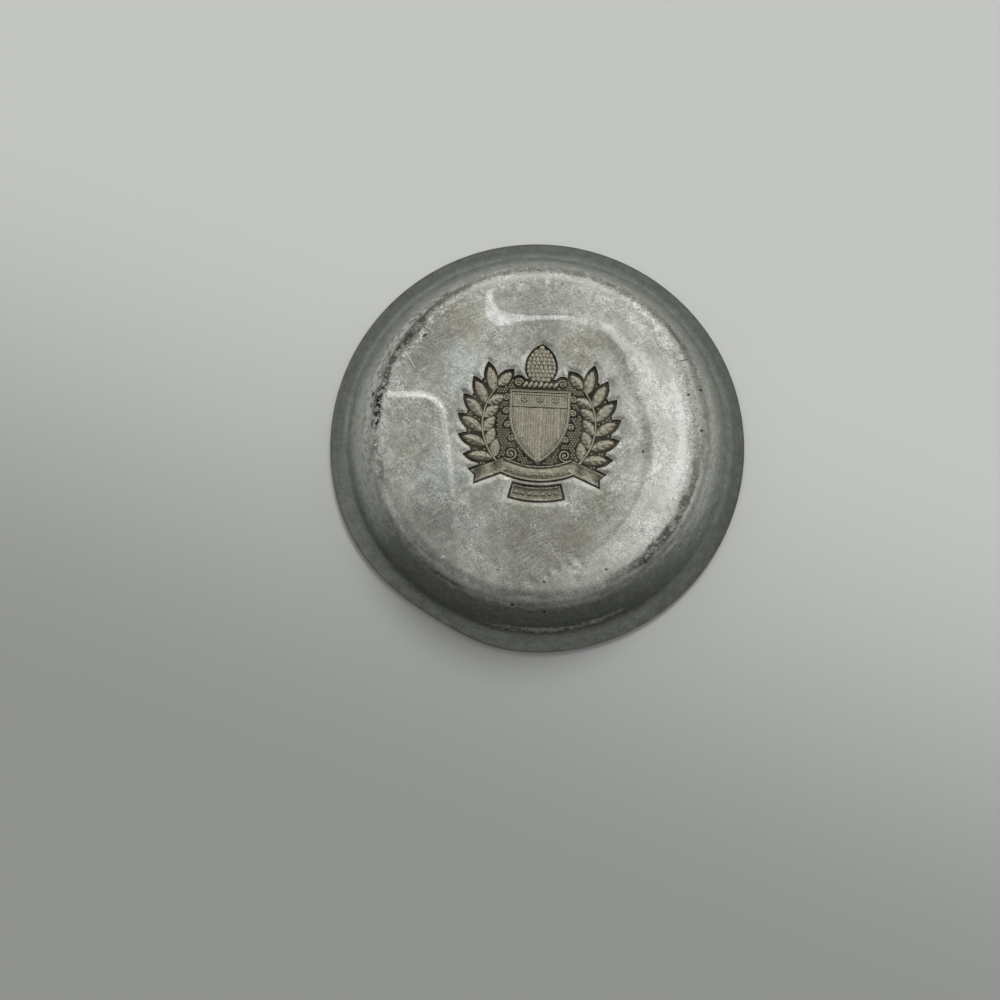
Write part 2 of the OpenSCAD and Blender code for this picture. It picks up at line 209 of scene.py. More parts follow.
def add_node(tree, kind, inputs=None, out=0, **settings):
    """Adds one node, sets it, fills its inputs with values or other nodes' outputs, and gives one output."""
    node = tree.nodes.new(kind)
    for name, value in settings.items():
        setattr(node, name, value)
    for socket, value in (inputs or {}).items():
        if isinstance(value, bpy.types.NodeSocket):
            tree.links.new(value, node.inputs[socket])
        else:
            node.inputs[socket].default_value = value
    return node.outputs[out] if node.outputs else node


def new_material(name):
    """A node material without any nodes yet, and its tree."""
    material = bpy.data.materials.new(name)
    material.use_nodes = True
    material.node_tree.nodes.clear()
    return material, material.node_tree


# Mesh helpers

# Wear of the reliefs: share of their height, size and seed of its pattern, and height from which it acts
RELIEF_WEAR = 0.16
RELIEF_WEAR_SIZE = 0.9
RELIEF_WEAR_SEED = 0.5
RELIEF_WEAR_Z = 0.02

# Foot of the reliefs' sides in the ground, steps round a cord, and steps in a turn and winding of a scroll
RELIEF_FOOT = -0.12
CORD_STEPS = 3
VOLUTE_STEPS = 24
VOLUTE_WIND = 0.86


def add_object(name, data):
    """Adds an object with its data to the scene."""
    added = bpy.data.objects.new(name, data)
    bpy.context.scene.collection.objects.link(added)
    return added


def verts_of(geom):
    """The vertices in what a bmesh operator gives back."""
    return [g for g in geom if isinstance(g, bmesh.types.BMVert)]


def add_piece(name, bm, material, nodes=()):
    """Makes a piece of a bmesh in millimetres, which rides on the dish and may stand for CAD nodes."""
    bmesh.ops.scale(bm, vec=(MM, MM, MM), verts=bm.verts)
    mesh = bpy.data.meshes.new(name)
    bm.to_mesh(mesh)
    bm.free()
    mesh.shade_smooth()
    mesh.set_sharp_from_angle(angle=SHARP_ANGLE)
    mesh.materials.append(material)
    piece = add_object(name, mesh)
    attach(piece, "root")
    if nodes:
        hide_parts(*nodes)


def put_on_badge(bm):
    """Wears a relief piece a little and moves it from the badge's frame, ground at z = 0, to its place."""
    for vert in bm.verts:
        if vert.co.z > RELIEF_WEAR_Z:
            worn = unevenness(vert.co.x, vert.co.y, RELIEF_WEAR_SIZE, RELIEF_WEAR_SEED)
            vert.co.z *= 1 + RELIEF_WEAR * worn
    bmesh.ops.transform(bm, matrix=BADGE_PLACE, verts=bm.verts)


def relief_patch(bm, shape, columns, rows, place=None, foot=RELIEF_FOOT):
    """A closed relief: a grid bent to shape(u, t), both from -1 to 1, with sides down to the foot."""
    grid = bmesh.ops.create_grid(bm, x_segments=columns, y_segments=rows, size=1.0)["verts"]
    for vert in grid:
        vert.co = shape(vert.co.x, vert.co.y)
    border = [e for e in dict.fromkeys(e for v in grid for e in v.link_edges) if e.is_boundary]
    wall = bmesh.ops.extrude_edge_only(bm, edges=border)["geom"]
    wall_verts = verts_of(wall)
    for vert in wall_verts:
        vert.co.z = foot
    bottom = [e for e in wall if isinstance(e, bmesh.types.BMEdge) and e.is_boundary]
    bmesh.ops.edgeloop_fill(bm, edges=bottom)
    if place:
        bmesh.ops.transform(bm, matrix=place, verts=grid + wall_verts)


def relief_bead(bm, place, size):
    """A flattened ball with half-axes size, half sunk in what carries it."""
    shape = Matrix.Translation(place) @ Matrix.Diagonal((*size, 1.0))
    bmesh.ops.create_icosphere(bm, subdivisions=2, radius=1.0, matrix=shape)


def relief_cord(bm, points, radius, closed=False, taper=0.0):
    """A round cord along points, thinner towards its far end by the share taper."""
    data = bpy.data.curves.new("cord", "CURVE")
    data.dimensions = "3D"
    data.twist_mode = "Z_UP"
    data.bevel_depth = radius
    data.bevel_resolution = CORD_STEPS
    data.use_fill_caps = True
    spline = data.splines.new("POLY")
    spline.points.add(len(points) - 1)
    spline.use_cyclic_u = closed
    for i, (target, point) in enumerate(zip(spline.points, points)):
        target.co = (*point, 1.0)
        target.radius = 1 - taper * i / len(points)
    holder = add_object("cord", data)
    bpy.context.view_layer.update()
    mesh = bpy.data.meshes.new_from_object(holder)
    bm.from_mesh(mesh)
    bpy.data.objects.remove(holder)
    bpy.data.curves.remove(data)
    bpy.data.meshes.remove(mesh)


def close_seams(bm):
    """Merges doubled vertices and turns the faces outwards."""
    bmesh.ops.remove_doubles(bm, verts=bm.verts, dist=MERGE_DIST)
    bmesh.ops.recalc_face_normals(bm, faces=bm.faces)


def volute(centre, start_r, turns, start_angle, height, direction):
    """Points of a scroll that winds in to its centre."""
    steps = int(turns * VOLUTE_STEPS)
    points = []
    for i in range(steps + 1):
        share = i / steps
        r = start_r * (1 - VOLUTE_WIND * share)
        angle = start_angle + direction * share * turns * math.tau
        points.append((centre[0] + r * math.cos(angle), centre[1] + r * math.sin(angle), height))
    return points


def relief_curl(bm, centre, width, start, side, gap, turns, height, radius, taper, eye_z, eye):
    """A scroll of cord that winds in to a raised eye, with side for the way it turns."""
    line = volute(centre, width / 2 - gap, turns, start, height, -side)
    relief_cord(bm, line, radius, taper=taper)
    relief_bead(bm, (*centre, eye_z), eye)


# Dish shell

# Steps round one wedge and doublings from it to the whole, where the fine rings start, and steps of the rings
WEDGE_STEPS = 30
WEDGE_DOUBLINGS = 4
FINE_FROM_R = 8.0
PAD_RING_STEP = 0.28
WALL_RING_STEP = 0.9
HOLLOW_RING_STEP = 2.5
CORNER_STEPS = 8

# A stretch of the rim was pushed in, more steeply on one side
RIM_DENT_ANGLE = math.radians(239)
RIM_DENT_BEFORE = math.radians(22)
RIM_DENT_AFTER = math.radians(14.5)
RIM_DENT_DEPTH = 1.6
RIM_DENT_FROM_R = CREASE_X - 3

# The foot's shapes fade out over the shoulder
FOOT_FADE_R = (FOOT_R - 1.5, FOOT_R + 3.4)

# Drop of the crescent pad from its inner edge to the shoulder, where it starts and how it bends
PAD_FALL = 0.3
PAD_FALL_R = 28
PAD_FALL_RUN = 10
PAD_FALL_BEND = 1.4
PAD_FALL_X = (12, 32)

# The pads run out towards the near side, and are lower at the far one
PAD_END_Y = -20.0
PAD_FULL_Y = 3.0
PAD_END_SHARE = 0.25
PAD_FAR_Y = 22.0
PAD_FAR_END_Y = 30.0
PAD_FAR_SHARE = 0.55

# Width of the ramp between pad and panel, its width and stretch along the crescent pad, and the corners where
# it is wider or narrower: place, reach and added width
RAMP_W = 1.9
RAMP_FAR_W = 3.4
RAMP_FAR_X = (4, 18)
RAMP_FAR_Y = (-18, -8)
RAMP_CORNERS = ((-10.5, 28.0, 4.5, 3.2), (-20.5, 8.0, 8.0, 0.6), (4.0, 29.0, 7.0, -0.5))

# How the ramp bends from pad to panel at the left pad and at the crescent pad, and the stretch between them
LEFT_RAMP_BEND = 1.4
CRESCENT_RAMP_BEND = 1.2
RAMP_BEND_X = (-19, -15)

# The far pad's corner is worn rounder than its other tip, and painted pale over the whole ramp, as rubbing
# and painted highlight: place and reach
FAR_TIP_R = 5.6
FAR_TIP_SPOT = (-10.0, 28.5, 5.0)

# Stretches of the ramp that are painted pale, as rubbed metal and as painted highlight: place, reach and
# strength
RUB_AND_HIGHLIGHT_SPOTS = (
    (-11.0, 30.5, 9.0, 1.0), (3.0, 29.5, 11.0, 1.0),
    (-27.0, 9.5, 6.0, 0.4), (-20.5, 4.0, 8.0, 0.35), (-19.5, -6.0, 8.0, 0.4),
)

# Stretch of the ramp that is painted pale or dark, from 0 at the pad to 1 at the panel, longer at the far
# pad's corner
RAMP_PAINT_FROM = 0.15
RAMP_PAINT_TO = 0.5
RAMP_PAINT_TO_AT_TIP = 0.85

# The crescent pad's ramp is painted dark as painted shade, with a painted highlight line near its top: where,
# how dark, how pale and how near
CRESCENT_X = (10, 20)
CRESCENT_SHADE = 0.3
CRESCENT_HIGHLIGHT = 0.4
CRESCENT_HIGHLIGHT_AT = 0.12

# How pale the crescent pad is rubbed where the dish stands on it, and where
PAD_WEAR = 0.16
PAD_WEAR_X = (0, 12)
PAD_WEAR_Y = (4, 16)
PAD_WEAR_R = 35
PAD_WEAR_RAMP = 0.6

# Hammering of the base: height, size and seed of its soft swellings and of its fine beats
SWELL_H = 0.05
SWELL_SIZE = 13
SWELL_SEED = 3.1
BEAT_H = 0.016
BEAT_SIZE = 4.2
BEAT_SEED = 8.7

# Row of planishing dents along the near edge of the panel
DENTS = (
    (-2.0, -37.2), (1.8, -35.8), (3.9, -34.3), (6.5, -32.9),
    (8.4, -34.2), (9.9, -33.0), (8.9, -31.6), (8.7, -36.4),
)
DENT_R = 0.95
DENT_DEPTH = 0.17


def dish_section():
    """Half section of the dish in the XZ plane, as a chain of edges with rounded corners."""
    bm = bmesh.new()
    corners = [
        (0, DISH_H, 0),
        (FINE_FROM_R, DISH_H, 0),
        (KNEE_R, DISH_H, SHOULDER_R),
        (CREASE_X, CREASE_Z, CREASE_R),
        (RIM_R, RIM_T, EDGE_R),
        (RIM_R, 0, EDGE_R),
        (MOUTH_R, 0, 0),
        (HOLLOW_X, HOLLOW_Z, CREASE_R + WALL_T),
        (HOLLOW_R, FLOOR_Z, SHOULDER_R - WALL_T),
        (0, FLOOR_Z, 0),
    ]
    places = [Vector((x, 0, z)) for x, z, _ in corners]
    verts = [bm.verts.new(p) for p in places]
    for a, b in zip(verts, verts[1:]):
        bm.edges.new((a, b))
    for i, (_, _, radius) in enumerate(corners):
        if radius:
            before = places[i - 1] - places[i]
            after = places[i + 1] - places[i]
            tangent = radius / math.tan(before.angle(after) / 2)
            bmesh.ops.bevel(
                bm, geom=[verts[i]], offset=tangent, affect="VERTICES",
                segments=CORNER_STEPS, profile=0.5, material=-1,
            )
    for edge in list(bm.edges):
        middle = (edge.verts[0].co + edge.verts[1].co) / 2
        step = HOLLOW_RING_STEP
        if middle.z > DISH_H - LEVEL_TOLERANCE:
            step = PAD_RING_STEP if middle.x > FINE_FROM_R else FINE_FROM_R
        elif middle.z > CREASE_Z or middle.x > CREASE_X:
            step = WALL_RING_STEP
        cuts = round(edge.calc_length() / step) - 1
        if cuts > 0:
            bmesh.ops.subdivide_edges(bm, edges=[edge], cuts=cuts)
    return bm


def round_join(first, second, radius):
    """Distance to the corner of two edges, rounded to a radius."""
    a, b = first + radius, second + radius
    return math.hypot(a, b) - radius if a > 0 and b > 0 else max(first, second)


def outside_pads(x, y):
    """Distance from a point of the foot to the nearer raised pad, negative on a pad."""
    at = Vector((x, y))
    lean_x = LEFT_PAD_X + (LEFT_PAD_Y - y) * math.tan(LEFT_PAD_LEAN)
    left = round_join(y - LEFT_PAD_Y, (x - lean_x) * math.cos(LEFT_PAD_LEAN), LEFT_PAD_R)
    in_panel = PANEL_R - (at - PANEL_AT).length
    in_bulge = BULGE_R - (at - BULGE_AT).length
    blend = max(0.0, BULGE_REACH / 2 - abs(in_panel - in_bulge))
    sunk = max(in_panel, in_bulge) + blend * blend / (2 * BULGE_REACH) - RAMP_SHIFT
    slot_x, tip_r = (CHANNEL_X, FAR_TIP_R) if y > PANEL_AT.y else (OUTLET_X, CRESCENT_TIP_R)
    return min(left, round_join(sunk, slot_x - x, tip_r))


def spot_share(x, y, at_x, at_y, reach):
    """1 at a spot, falling to 0 round it."""
    return math.exp(-((x - at_x) ** 2 + (y - at_y) ** 2) / reach ** 2)


def ramp_share(x, y):
    """0 on a raised pad, 1 on the pressed panel, between them on the ramp."""
    ramp = mix(RAMP_W, RAMP_FAR_W, smooth_step(*RAMP_FAR_X, x) * smooth_step(*RAMP_FAR_Y, y))
    ramp += sum(added * spot_share(x, y, *spot) for *spot, added in RAMP_CORNERS)
    return min(max(outside_pads(x, y) / ramp + 0.5, 0.0), 1.0)


def ramp_wear_and_light(x, y):
    """How pale, or below 0 how dark, the ramps are painted: rubbed metal with painted highlight, and painted
    shade.
    """
    t = ramp_share(x, y)
    r = math.hypot(x, y)
    if t == 1.0 or r > FOOT_R:
        return 0.0
    near = min(1.0, sum(strength * spot_share(x, y, *spot) for *spot, strength in RUB_AND_HIGHLIGHT_SPOTS))
    far = smooth_step(*CRESCENT_X, x)
    highlight_line = math.exp(-((t - CRESCENT_HIGHLIGHT_AT) / CRESCENT_HIGHLIGHT_AT) ** 2)
    band_to = mix(RAMP_PAINT_TO, RAMP_PAINT_TO_AT_TIP, spot_share(x, y, *FAR_TIP_SPOT))
    worn = smooth_step(0.0, RAMP_PAINT_FROM, t) * (1 - smooth_step(band_to, 1.0, t))
    stood_on = smooth_step(*PAD_WEAR_X, x) * (1 - smooth_step(*PAD_WEAR_Y, y))
    stood_on *= 1 - smooth_step(PAD_WEAR_R, FOOT_R, r)
    stood_on *= PAD_WEAR * (1 - smooth_step(0.0, PAD_WEAR_RAMP, t))
    # Pale spots are rubbing and painted highlight; the crescent's dark band is painted shade and its pale
    # line a painted highlight
    return worn * (near - CRESCENT_SHADE * far) + CRESCENT_HIGHLIGHT * far * highlight_line + stood_on


def foot_height(x, y):
    """Height of the foot's surface over the plain top plane: pressed panel, fall of the pads, hammering."""
    r = math.hypot(x, y)
    t = ramp_share(x, y)
    fade = 1 - smooth_step(*FOOT_FADE_R, r)
    bend = mix(LEFT_RAMP_BEND, CRESCENT_RAMP_BEND, smooth_step(*RAMP_BEND_X, x))
    raised = (1 - t) ** bend * mix(PAD_END_SHARE, 1.0, smooth_step(PAD_END_Y, PAD_FULL_Y, y))
    raised *= mix(1.0, PAD_FAR_SHARE, smooth_step(PAD_FAR_Y, PAD_FAR_END_Y, y))
    pressed = -PANEL_DEPTH * (1 - raised) * fade
    fall = -PAD_FALL * (1 - t) * max(0.0, (r - PAD_FALL_R) / PAD_FALL_RUN) ** PAD_FALL_BEND
    fall *= smooth_step(*PAD_FALL_X, x)
    swell = SWELL_H * unevenness(x, y, SWELL_SIZE, SWELL_SEED)
    beat = BEAT_H * unevenness(x, y, BEAT_SIZE, BEAT_SEED)
    dents = 0.0
    for at in DENTS:
        dents -= DENT_DEPTH * spot_share(x, y, *at, DENT_R)
    return pressed + fall * fade + (swell + beat + dents) * fade


def push_in_rim(vert):
    """Moves a vertex of the rim inwards where the rim was pushed in."""
    r = math.hypot(vert.co.x, vert.co.y)
    if r < RIM_DENT_FROM_R:
        return
    turn = (math.atan2(vert.co.y, vert.co.x) - RIM_DENT_ANGLE + math.pi) % math.tau - math.pi
    spread = RIM_DENT_BEFORE if turn < 0 else RIM_DENT_AFTER
    depth = RIM_DENT_DEPTH * math.exp(-((turn / spread) ** 2))
    depth *= smooth_step(RIM_DENT_FROM_R, RIM_R, r)
    vert.co.x *= 1 - depth / r
    vert.co.y *= 1 - depth / r


def dish_mesh():
    """The dish with its foot shaped and its rim pushed in, before its pockets are cut."""
    bm = dish_section()
    wedge = math.tau / 2 ** WEDGE_DOUBLINGS
    bmesh.ops.spin(
        bm, geom=bm.verts[:] + bm.edges[:], cent=(0, 0, 0), axis=(0, 0, 1),
        angle=wedge, steps=WEDGE_STEPS,
    )
    for i in range(WEDGE_DOUBLINGS):
        copy = bmesh.ops.duplicate(bm, geom=bm.verts[:] + bm.edges[:] + bm.faces[:])["geom"]
        bmesh.ops.rotate(
            bm, cent=(0, 0, 0), matrix=Matrix.Rotation(wedge * 2 ** i, 3, "Z"),
            verts=verts_of(copy),
        )
    bmesh.ops.remove_doubles(bm, verts=bm.verts, dist=WEDGE_MERGE_DIST)
    bmesh.ops.recalc_face_normals(bm, faces=bm.faces)
    for vert in bm.verts:
        if vert.co.z > DISH_H - BASE_T / 2:
            vert.co.z = min(DISH_H, vert.co.z + foot_height(vert.co.x, vert.co.y))
        push_in_rim(vert)
    return bm


def merged_copy(node):
    """A merged copy of a CAD node's mesh, in millimetres."""
    bm = bmesh.new()
    bm.from_mesh(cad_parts[node].data)
    bmesh.ops.scale(bm, vec=(1 / MM,) * 3, verts=bm.verts)
    bmesh.ops.remove_doubles(bm, verts=bm.verts, dist=MERGE_DIST)
    return bm


def plate_outline(node, top):
    """Outline of a plate's upper face as ordered points, and their outward directions."""
    bm = merged_copy(node)
    bm.normal_update()
    unused = {}
    for edge in bm.edges:
        slants = sorted(abs(f.normal.z) for f in edge.link_faces)
        on_top = all(abs(v.co.z - top) < LEVEL_TOLERANCE for v in edge.verts)
        if on_top and len(slants) == 2 and slants[0] < LEVEL_NORMAL < slants[1]:
            unused[edge] = True
    outlines = []
    while unused:
        edge, _ = unused.popitem()
        chain = [edge.verts[0], edge.verts[1]]
        while True:
            following = [e for e in chain[-1].link_edges if e in unused]
            if not following:
                break
            del unused[following[0]]
            chain.append(following[0].other_vert(chain[-1]))
        outlines.append([v.co.copy() for v in chain[:-1]])
    bm.free()
    outline = max(outlines, key=len)
    area = sum(a.x * b.y - b.x * a.y for a, b in zip(outline, outline[1:] + outline[:1]))
    if area < 0:
        outline.reverse()
    outward = []
    for i in range(len(outline)):
        run = outline[(i + 1) % len(outline)] - outline[i - 1]
        outward.append(Vector((run.y, -run.x, 0)).normalized())
    return outline, outward


CUTTER_H = 4.0


def cut_pocket(bm, node, top):
    """Sinks the plate's pocket into the dish."""
    outline, outward = plate_outline(node, top)
    cutter = bmesh.new()
    verts = [cutter.verts.new(p + FIT_GAP * n) for p, n in zip(outline, outward)]
    face = cutter.faces.new(verts)
    floor_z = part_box(node)[0].z / MM
    for vert in verts:
        vert.co.z = floor_z
    lifted = bmesh.ops.extrude_face_region(cutter, geom=[face])["geom"]
    bmesh.ops.translate(cutter, vec=(0, 0, CUTTER_H), verts=verts_of(lifted))
    bmesh.ops.recalc_face_normals(cutter, faces=cutter.faces)
    meshes = []
    for name, source in (("dish", bm), ("cutter", cutter)):
        mesh = bpy.data.meshes.new(name)
        source.to_mesh(mesh)
        source.free()
        meshes.append(mesh)
    holders = [add_object(m.name, m) for m in meshes]
    boolean = holders[0].modifiers.new("pocket", "BOOLEAN")
    boolean.operation = "DIFFERENCE"
    boolean.solver = "MANIFOLD"
    boolean.object = holders[1]
    bpy.context.view_layer.update()
    done = bpy.data.meshes.new_from_object(
        holders[0].evaluated_get(bpy.context.evaluated_depsgraph_get())
    )
    result = bmesh.new()
    result.from_mesh(done)
    for holder in holders:
        bpy.data.objects.remove(holder)
    for mesh in meshes + [done]:
        bpy.data.meshes.remove(mesh)
    return result


# Lip round the pockets: height, where it starts inside the edge, width up to its crest, and reach
LIP_RISE = 0.32
LIP_START = -0.3
LIP_W = 1.4
LIP_REACH = 13.0
LIP_POINT_STEP = 0.12


def raise_lips(bm, nodes, top):
    """Lifts the metal round the pockets, so that it dips towards their edges."""
    points = []
    for node in nodes:
        outline, _ = plate_outline(node, top)
        for a, b in zip(outline, outline[1:] + outline[:1]):
            steps = math.ceil((b - a).length / LIP_POINT_STEP)
            points += [a.lerp(b, i / steps) for i in range(steps)]
    tree = kdtree.KDTree(len(points))
    for i, point in enumerate(points):
        tree.insert((point.x, point.y, 0), i)
    tree.balance()
    for vert in bm.verts:
        if vert.co.z > FOOT_FACE_Z:
            _, _, away = tree.find((vert.co.x, vert.co.y, 0))
            lift = smooth_step(LIP_START, LIP_W, away) * (1 - smooth_step(LIP_W, LIP_REACH, away))
            vert.co.z = min(DISH_H, vert.co.z + LIP_RISE * lift)


def mark_ramp_wear_and_light(bm):
    """Keeps how the ramps are painted, rubbed metal with painted highlight and painted shade, as an attribute
    of the mesh, for its finish.
    """
    layer = bm.verts.layers.float.new("ramp_wear_and_light")
    for vert in bm.verts:
        if vert.co.z > FOOT_FACE_Z:
            vert[layer] = ramp_wear_and_light(vert.co.x, vert.co.y)


# Relief pieces, in the badge's own frame

# Leaf: shift of its widest place, fullness of its outline, heights of its edge and ends as shares, roundness
# of its blades, height, count and sweep of its side veins, and bends of the outer and inner leaves
LEAF_WIDEST = 0.9
LEAF_FULLNESS = 0.8
LEAF_EDGE = 0.3
LEAF_ENDS = 0.72
LEAF_ROUND = 0.85
VEIN_RISE = 0.14
VEIN_COUNT = 4.5
VEIN_SWEEP = 0.9
OUTER_BEND = 0.22
INNER_BEND = -0.18

# Stem and the berries beside it
STEM_STEPS = 48
STEM_Z = 0.22
STEM_TAPER = 0.45
BERRY_OUT = 1.25
BERRY_Z = 0.1
BERRY_SIZE = (0.42, 0.42, 0.36)


def leaf(bm, length, place, bend):
    """A pointed leaf along +Y: two blades that slope from a raised midrib, with soft side veins."""
    def shape(u, t):
        s = (t + 1) / 2
        half = max(LEAST_HALF, LEAF_W / 2 * math.sin(math.pi * s ** LEAF_WIDEST) ** LEAF_FULLNESS)
        x = u * half + bend * math.sin(math.pi * s)
        blade = LEAF_EDGE + (1 - LEAF_EDGE) * (1 - abs(u)) ** LEAF_ROUND
        wave = math.sin(math.tau * (VEIN_COUNT * s - VEIN_SWEEP * abs(u)))
        vein = VEIN_RISE * wave * 4 * abs(u) * (1 - abs(u))
        height = SPRAY_RISE * (blade + vein) * mix(LEAF_ENDS, 1.0, math.sin(math.pi * s))
        return Vector((x, s * length, height))

    relief_patch(bm, shape, columns=12, rows=22, place=place)


def from_stem(angle, splay):
    """Place of a leaf that grows from the stem at an angle round the badge centre."""
    foot = Matrix.Translation(polar(SPRAY_R, angle))
    return foot @ Matrix.Rotation(angle - math.pi + splay, 4, "Z")


def spray_mesh():
    """The spray at the left: leaves on both sides of a curved stem, one at its end, and berries."""
    bm = bmesh.new()
    for i in range(LEAF_COUNT):
        angle = SPRAY_START - i * LEAF_PITCH
        leaf(bm, LEAF_L, from_stem(angle, LEAF_SPLAY), OUTER_BEND)
        if i < LEAF_COUNT - 1:
            leaf(bm, INNER_LEAF_L, from_stem(angle, -LEAF_SPLAY), INNER_BEND)
    leaf(bm, INNER_LEAF_L, from_stem(SPRAY_END, 0), 0.0)
    first = SPRAY_START + LEAF_PITCH / 4
    stem = []
    for i in range(STEM_STEPS + 1):
        stem.append(polar(SPRAY_R, mix(first, SPRAY_END, i / STEM_STEPS), STEM_Z))
    relief_cord(bm, stem, STEM_W / 2, taper=STEM_TAPER)
    for i in range(LEAF_COUNT):
        angle = SPRAY_START - (i + 0.5) * LEAF_PITCH
        relief_bead(bm, polar(SPRAY_R + BERRY_OUT, angle, BERRY_Z), BERRY_SIZE)
    close_seams(bm)
    return bm


# Shield: its outline, hatching, border, inner line, band, bars, flowers and the curls beside it
SHIELD_LINE_STEPS = 28
SHIELD_LINE_BEND = 0.9
HATCH_STEP = 0.62
HATCH_RISE = 0.045
HATCH_SUNK = 0.1
BORDER_Z = 0.2
BORDER_TRIM = 0.03
INNER_LINE_IN = 0.35
INNER_LINE_R = 0.13
SHIELD_SEAT = 0.02
BAND_ROUND = 0.2
BAR_ROUND = 0.25
BAR_SEAT = 0.05
PETALS = 6
PETAL_OUT = 0.3
PETAL_SIZE = (0.4, 0.4, 0.2)
FLOWER_EYE = (0.34, 0.34, 0.28)
SHIELD_CURL_OUT = 0.3
SHIELD_CURL = {
    "gap": 0.2, "turns": 1.5, "height": 0.18, "radius": 0.3, "taper": 0.3,
    "eye_z": 0.12, "eye": (0.3, 0.3, 0.3),
}


def shield_half(y, inset=0.0):
    """Half width of the shield at a height, drawn in by inset."""
    if y >= SHIELD_SIDE_Y:
        return SHIELD_W / 2 - inset
    reach = SHIELD_W - inset
    return max(LEAST_HALF, math.sqrt(max(0.0, reach ** 2 - (SHIELD_SIDE_Y - y) ** 2)) - SHIELD_W / 2)


def shield_tip(inset):
    """Height of the shield's lower tip, drawn in by inset."""
    return SHIELD_SIDE_Y - math.sqrt((SHIELD_W - inset) ** 2 - (SHIELD_W / 2) ** 2)


def shield_line(inset, height):
    """Closed line round the shield, drawn in by inset."""
    top, tip = SHIELD_TOP - inset, shield_tip(inset)
    right = []
    for i in range(SHIELD_LINE_STEPS + 1):
        y = mix(top, tip, (i / SHIELD_LINE_STEPS) ** SHIELD_LINE_BEND)
        right.append((shield_half(y, inset) if i < SHIELD_LINE_STEPS else 0.0, y, height))
    left = [(-x, y, z) for x, y, z in reversed(right[:-1])]
    return right + left


def shield_mesh():
    """The shield: hatched field, border, band with flowers, bars below it and curls at its sides."""
    bm = bmesh.new()
    field_z = SHIELD_RISE - FIELD_DEPTH

    def field(u, t):
        y = mix(SHIELD_TIP, SHIELD_TOP, (t + 1) / 2)
        x = u * shield_half(y)
        hatch = HATCH_RISE * math.cos(x * math.tau / HATCH_STEP)
        return Vector((x, y, field_z - HATCH_SUNK + hatch))

    relief_patch(bm, field, columns=120, rows=40)
    relief_cord(bm, shield_line(BORDER_W / 2, BORDER_Z), BORDER_W / 2 - BORDER_TRIM, closed=True)
    inner_line = shield_line(BORDER_W + INNER_LINE_IN, field_z - SHIELD_SEAT)
    relief_cord(bm, inner_line, INNER_LINE_R, closed=True)

    band_y = SHIELD_TOP - BORDER_W - BAND_H
    band_x = shield_half(band_y, BORDER_W)

    def band(u, t):
        round_off = BAND_ROUND * (1 - t ** 4)
        y = band_y + BAR_W / 4 + t * BAR_W / 4
        return Vector((u * band_x, y, field_z + round_off - SHIELD_SEAT))

    relief_patch(bm, band, columns=24, rows=6)
    pitch = (SHIELD_W - 2 * BORDER_W) / BAR_COUNT
    for i in range(BAR_COUNT):
        middle = (i - (BAR_COUNT - 1) / 2) * pitch
        reach = abs(middle) + BAR_W / 2 + BORDER_W + SHIELD_W / 2
        foot_y = SHIELD_SIDE_Y - math.sqrt(SHIELD_W ** 2 - reach ** 2)

        def bar(u, t):
            y = mix(foot_y, band_y, (t + 1) / 2)
            return Vector((middle + u * BAR_W / 2, y, field_z - BAR_SEAT + BAR_ROUND * (1 - u * u)))

        relief_patch(bm, bar, columns=20, rows=16)
    for i in (-1, 0, 1):
        at = Vector((i * SHIELD_W / 4, SHIELD_TOP - BORDER_W - BAND_H / 2 + BAR_W / 4, field_z))
        for k in range(PETALS):
            turn = math.tau * (k + 0.5) / PETALS
            relief_bead(bm, at + Vector(polar(1.0, turn)) * STUD_D * PETAL_OUT, PETAL_SIZE)
        relief_bead(bm, at, FLOWER_EYE)
    for i in range(SHIELD_CURL_COUNT):
        down = SHIELD_CURL_D + i * SHIELD_CURL_STEP
        bend = max(0.0, down - SHIELD_SIDE) / SHIELD_W
        out = SHIELD_W + SHIELD_CURL_OUT * SHIELD_CURL_D
        x = out * math.cos(bend) - SHIELD_W / 2
        y = SHIELD_SIDE_Y + max(0.0, SHIELD_SIDE - down) - out * math.sin(bend)
        for side in (-1, 1):
            start = math.pi + bend if side > 0 else -bend
            relief_curl(bm, (side * x, y), SHIELD_CURL_D, start, side, **SHIELD_CURL)
    close_seams(bm)
    return bm


# Crest: body and scales of the seed cone, the twisted bar and the curls beside it
CONE_Z = 0.18
CONE_CROWN = 0.2
CONE_ROWS = 9
CONE_ROW_STEP = 1.02
CONE_ROW_START = 0.75
SCALE_Z = 0.2
SCALE_INSET = 0.35
SCALE_STEP = 1.05
SCALE_SPREAD = 0.6
SCALE_SIZE = (0.56, 0.74, 0.24)
TWISTS = 7
TWIST_TURN = math.radians(-32)
TWIST_Z = 0.12
TWIST_SIZE = (0.62, TORSE_H * 0.62, 0.46)
CREST_CURL_OUT = 0.4
CREST_CURL = {
    "gap": 0.25, "turns": 1.6, "height": 0.18, "radius": 0.3, "taper": 0.3,
    "eye_z": 0.16, "eye": (0.34, 0.34, 0.3),
}


def cone_half(y):
    """Half width of the seed cone at a height over its widest place."""
    if y < 0:
        return math.sqrt(max(0.0, (CONE_W / 2) ** 2 - y * y))
    return math.sqrt(max(0.0, CONE_ARC_R ** 2 - y * y)) - CONE_ARC_R + CONE_W / 2


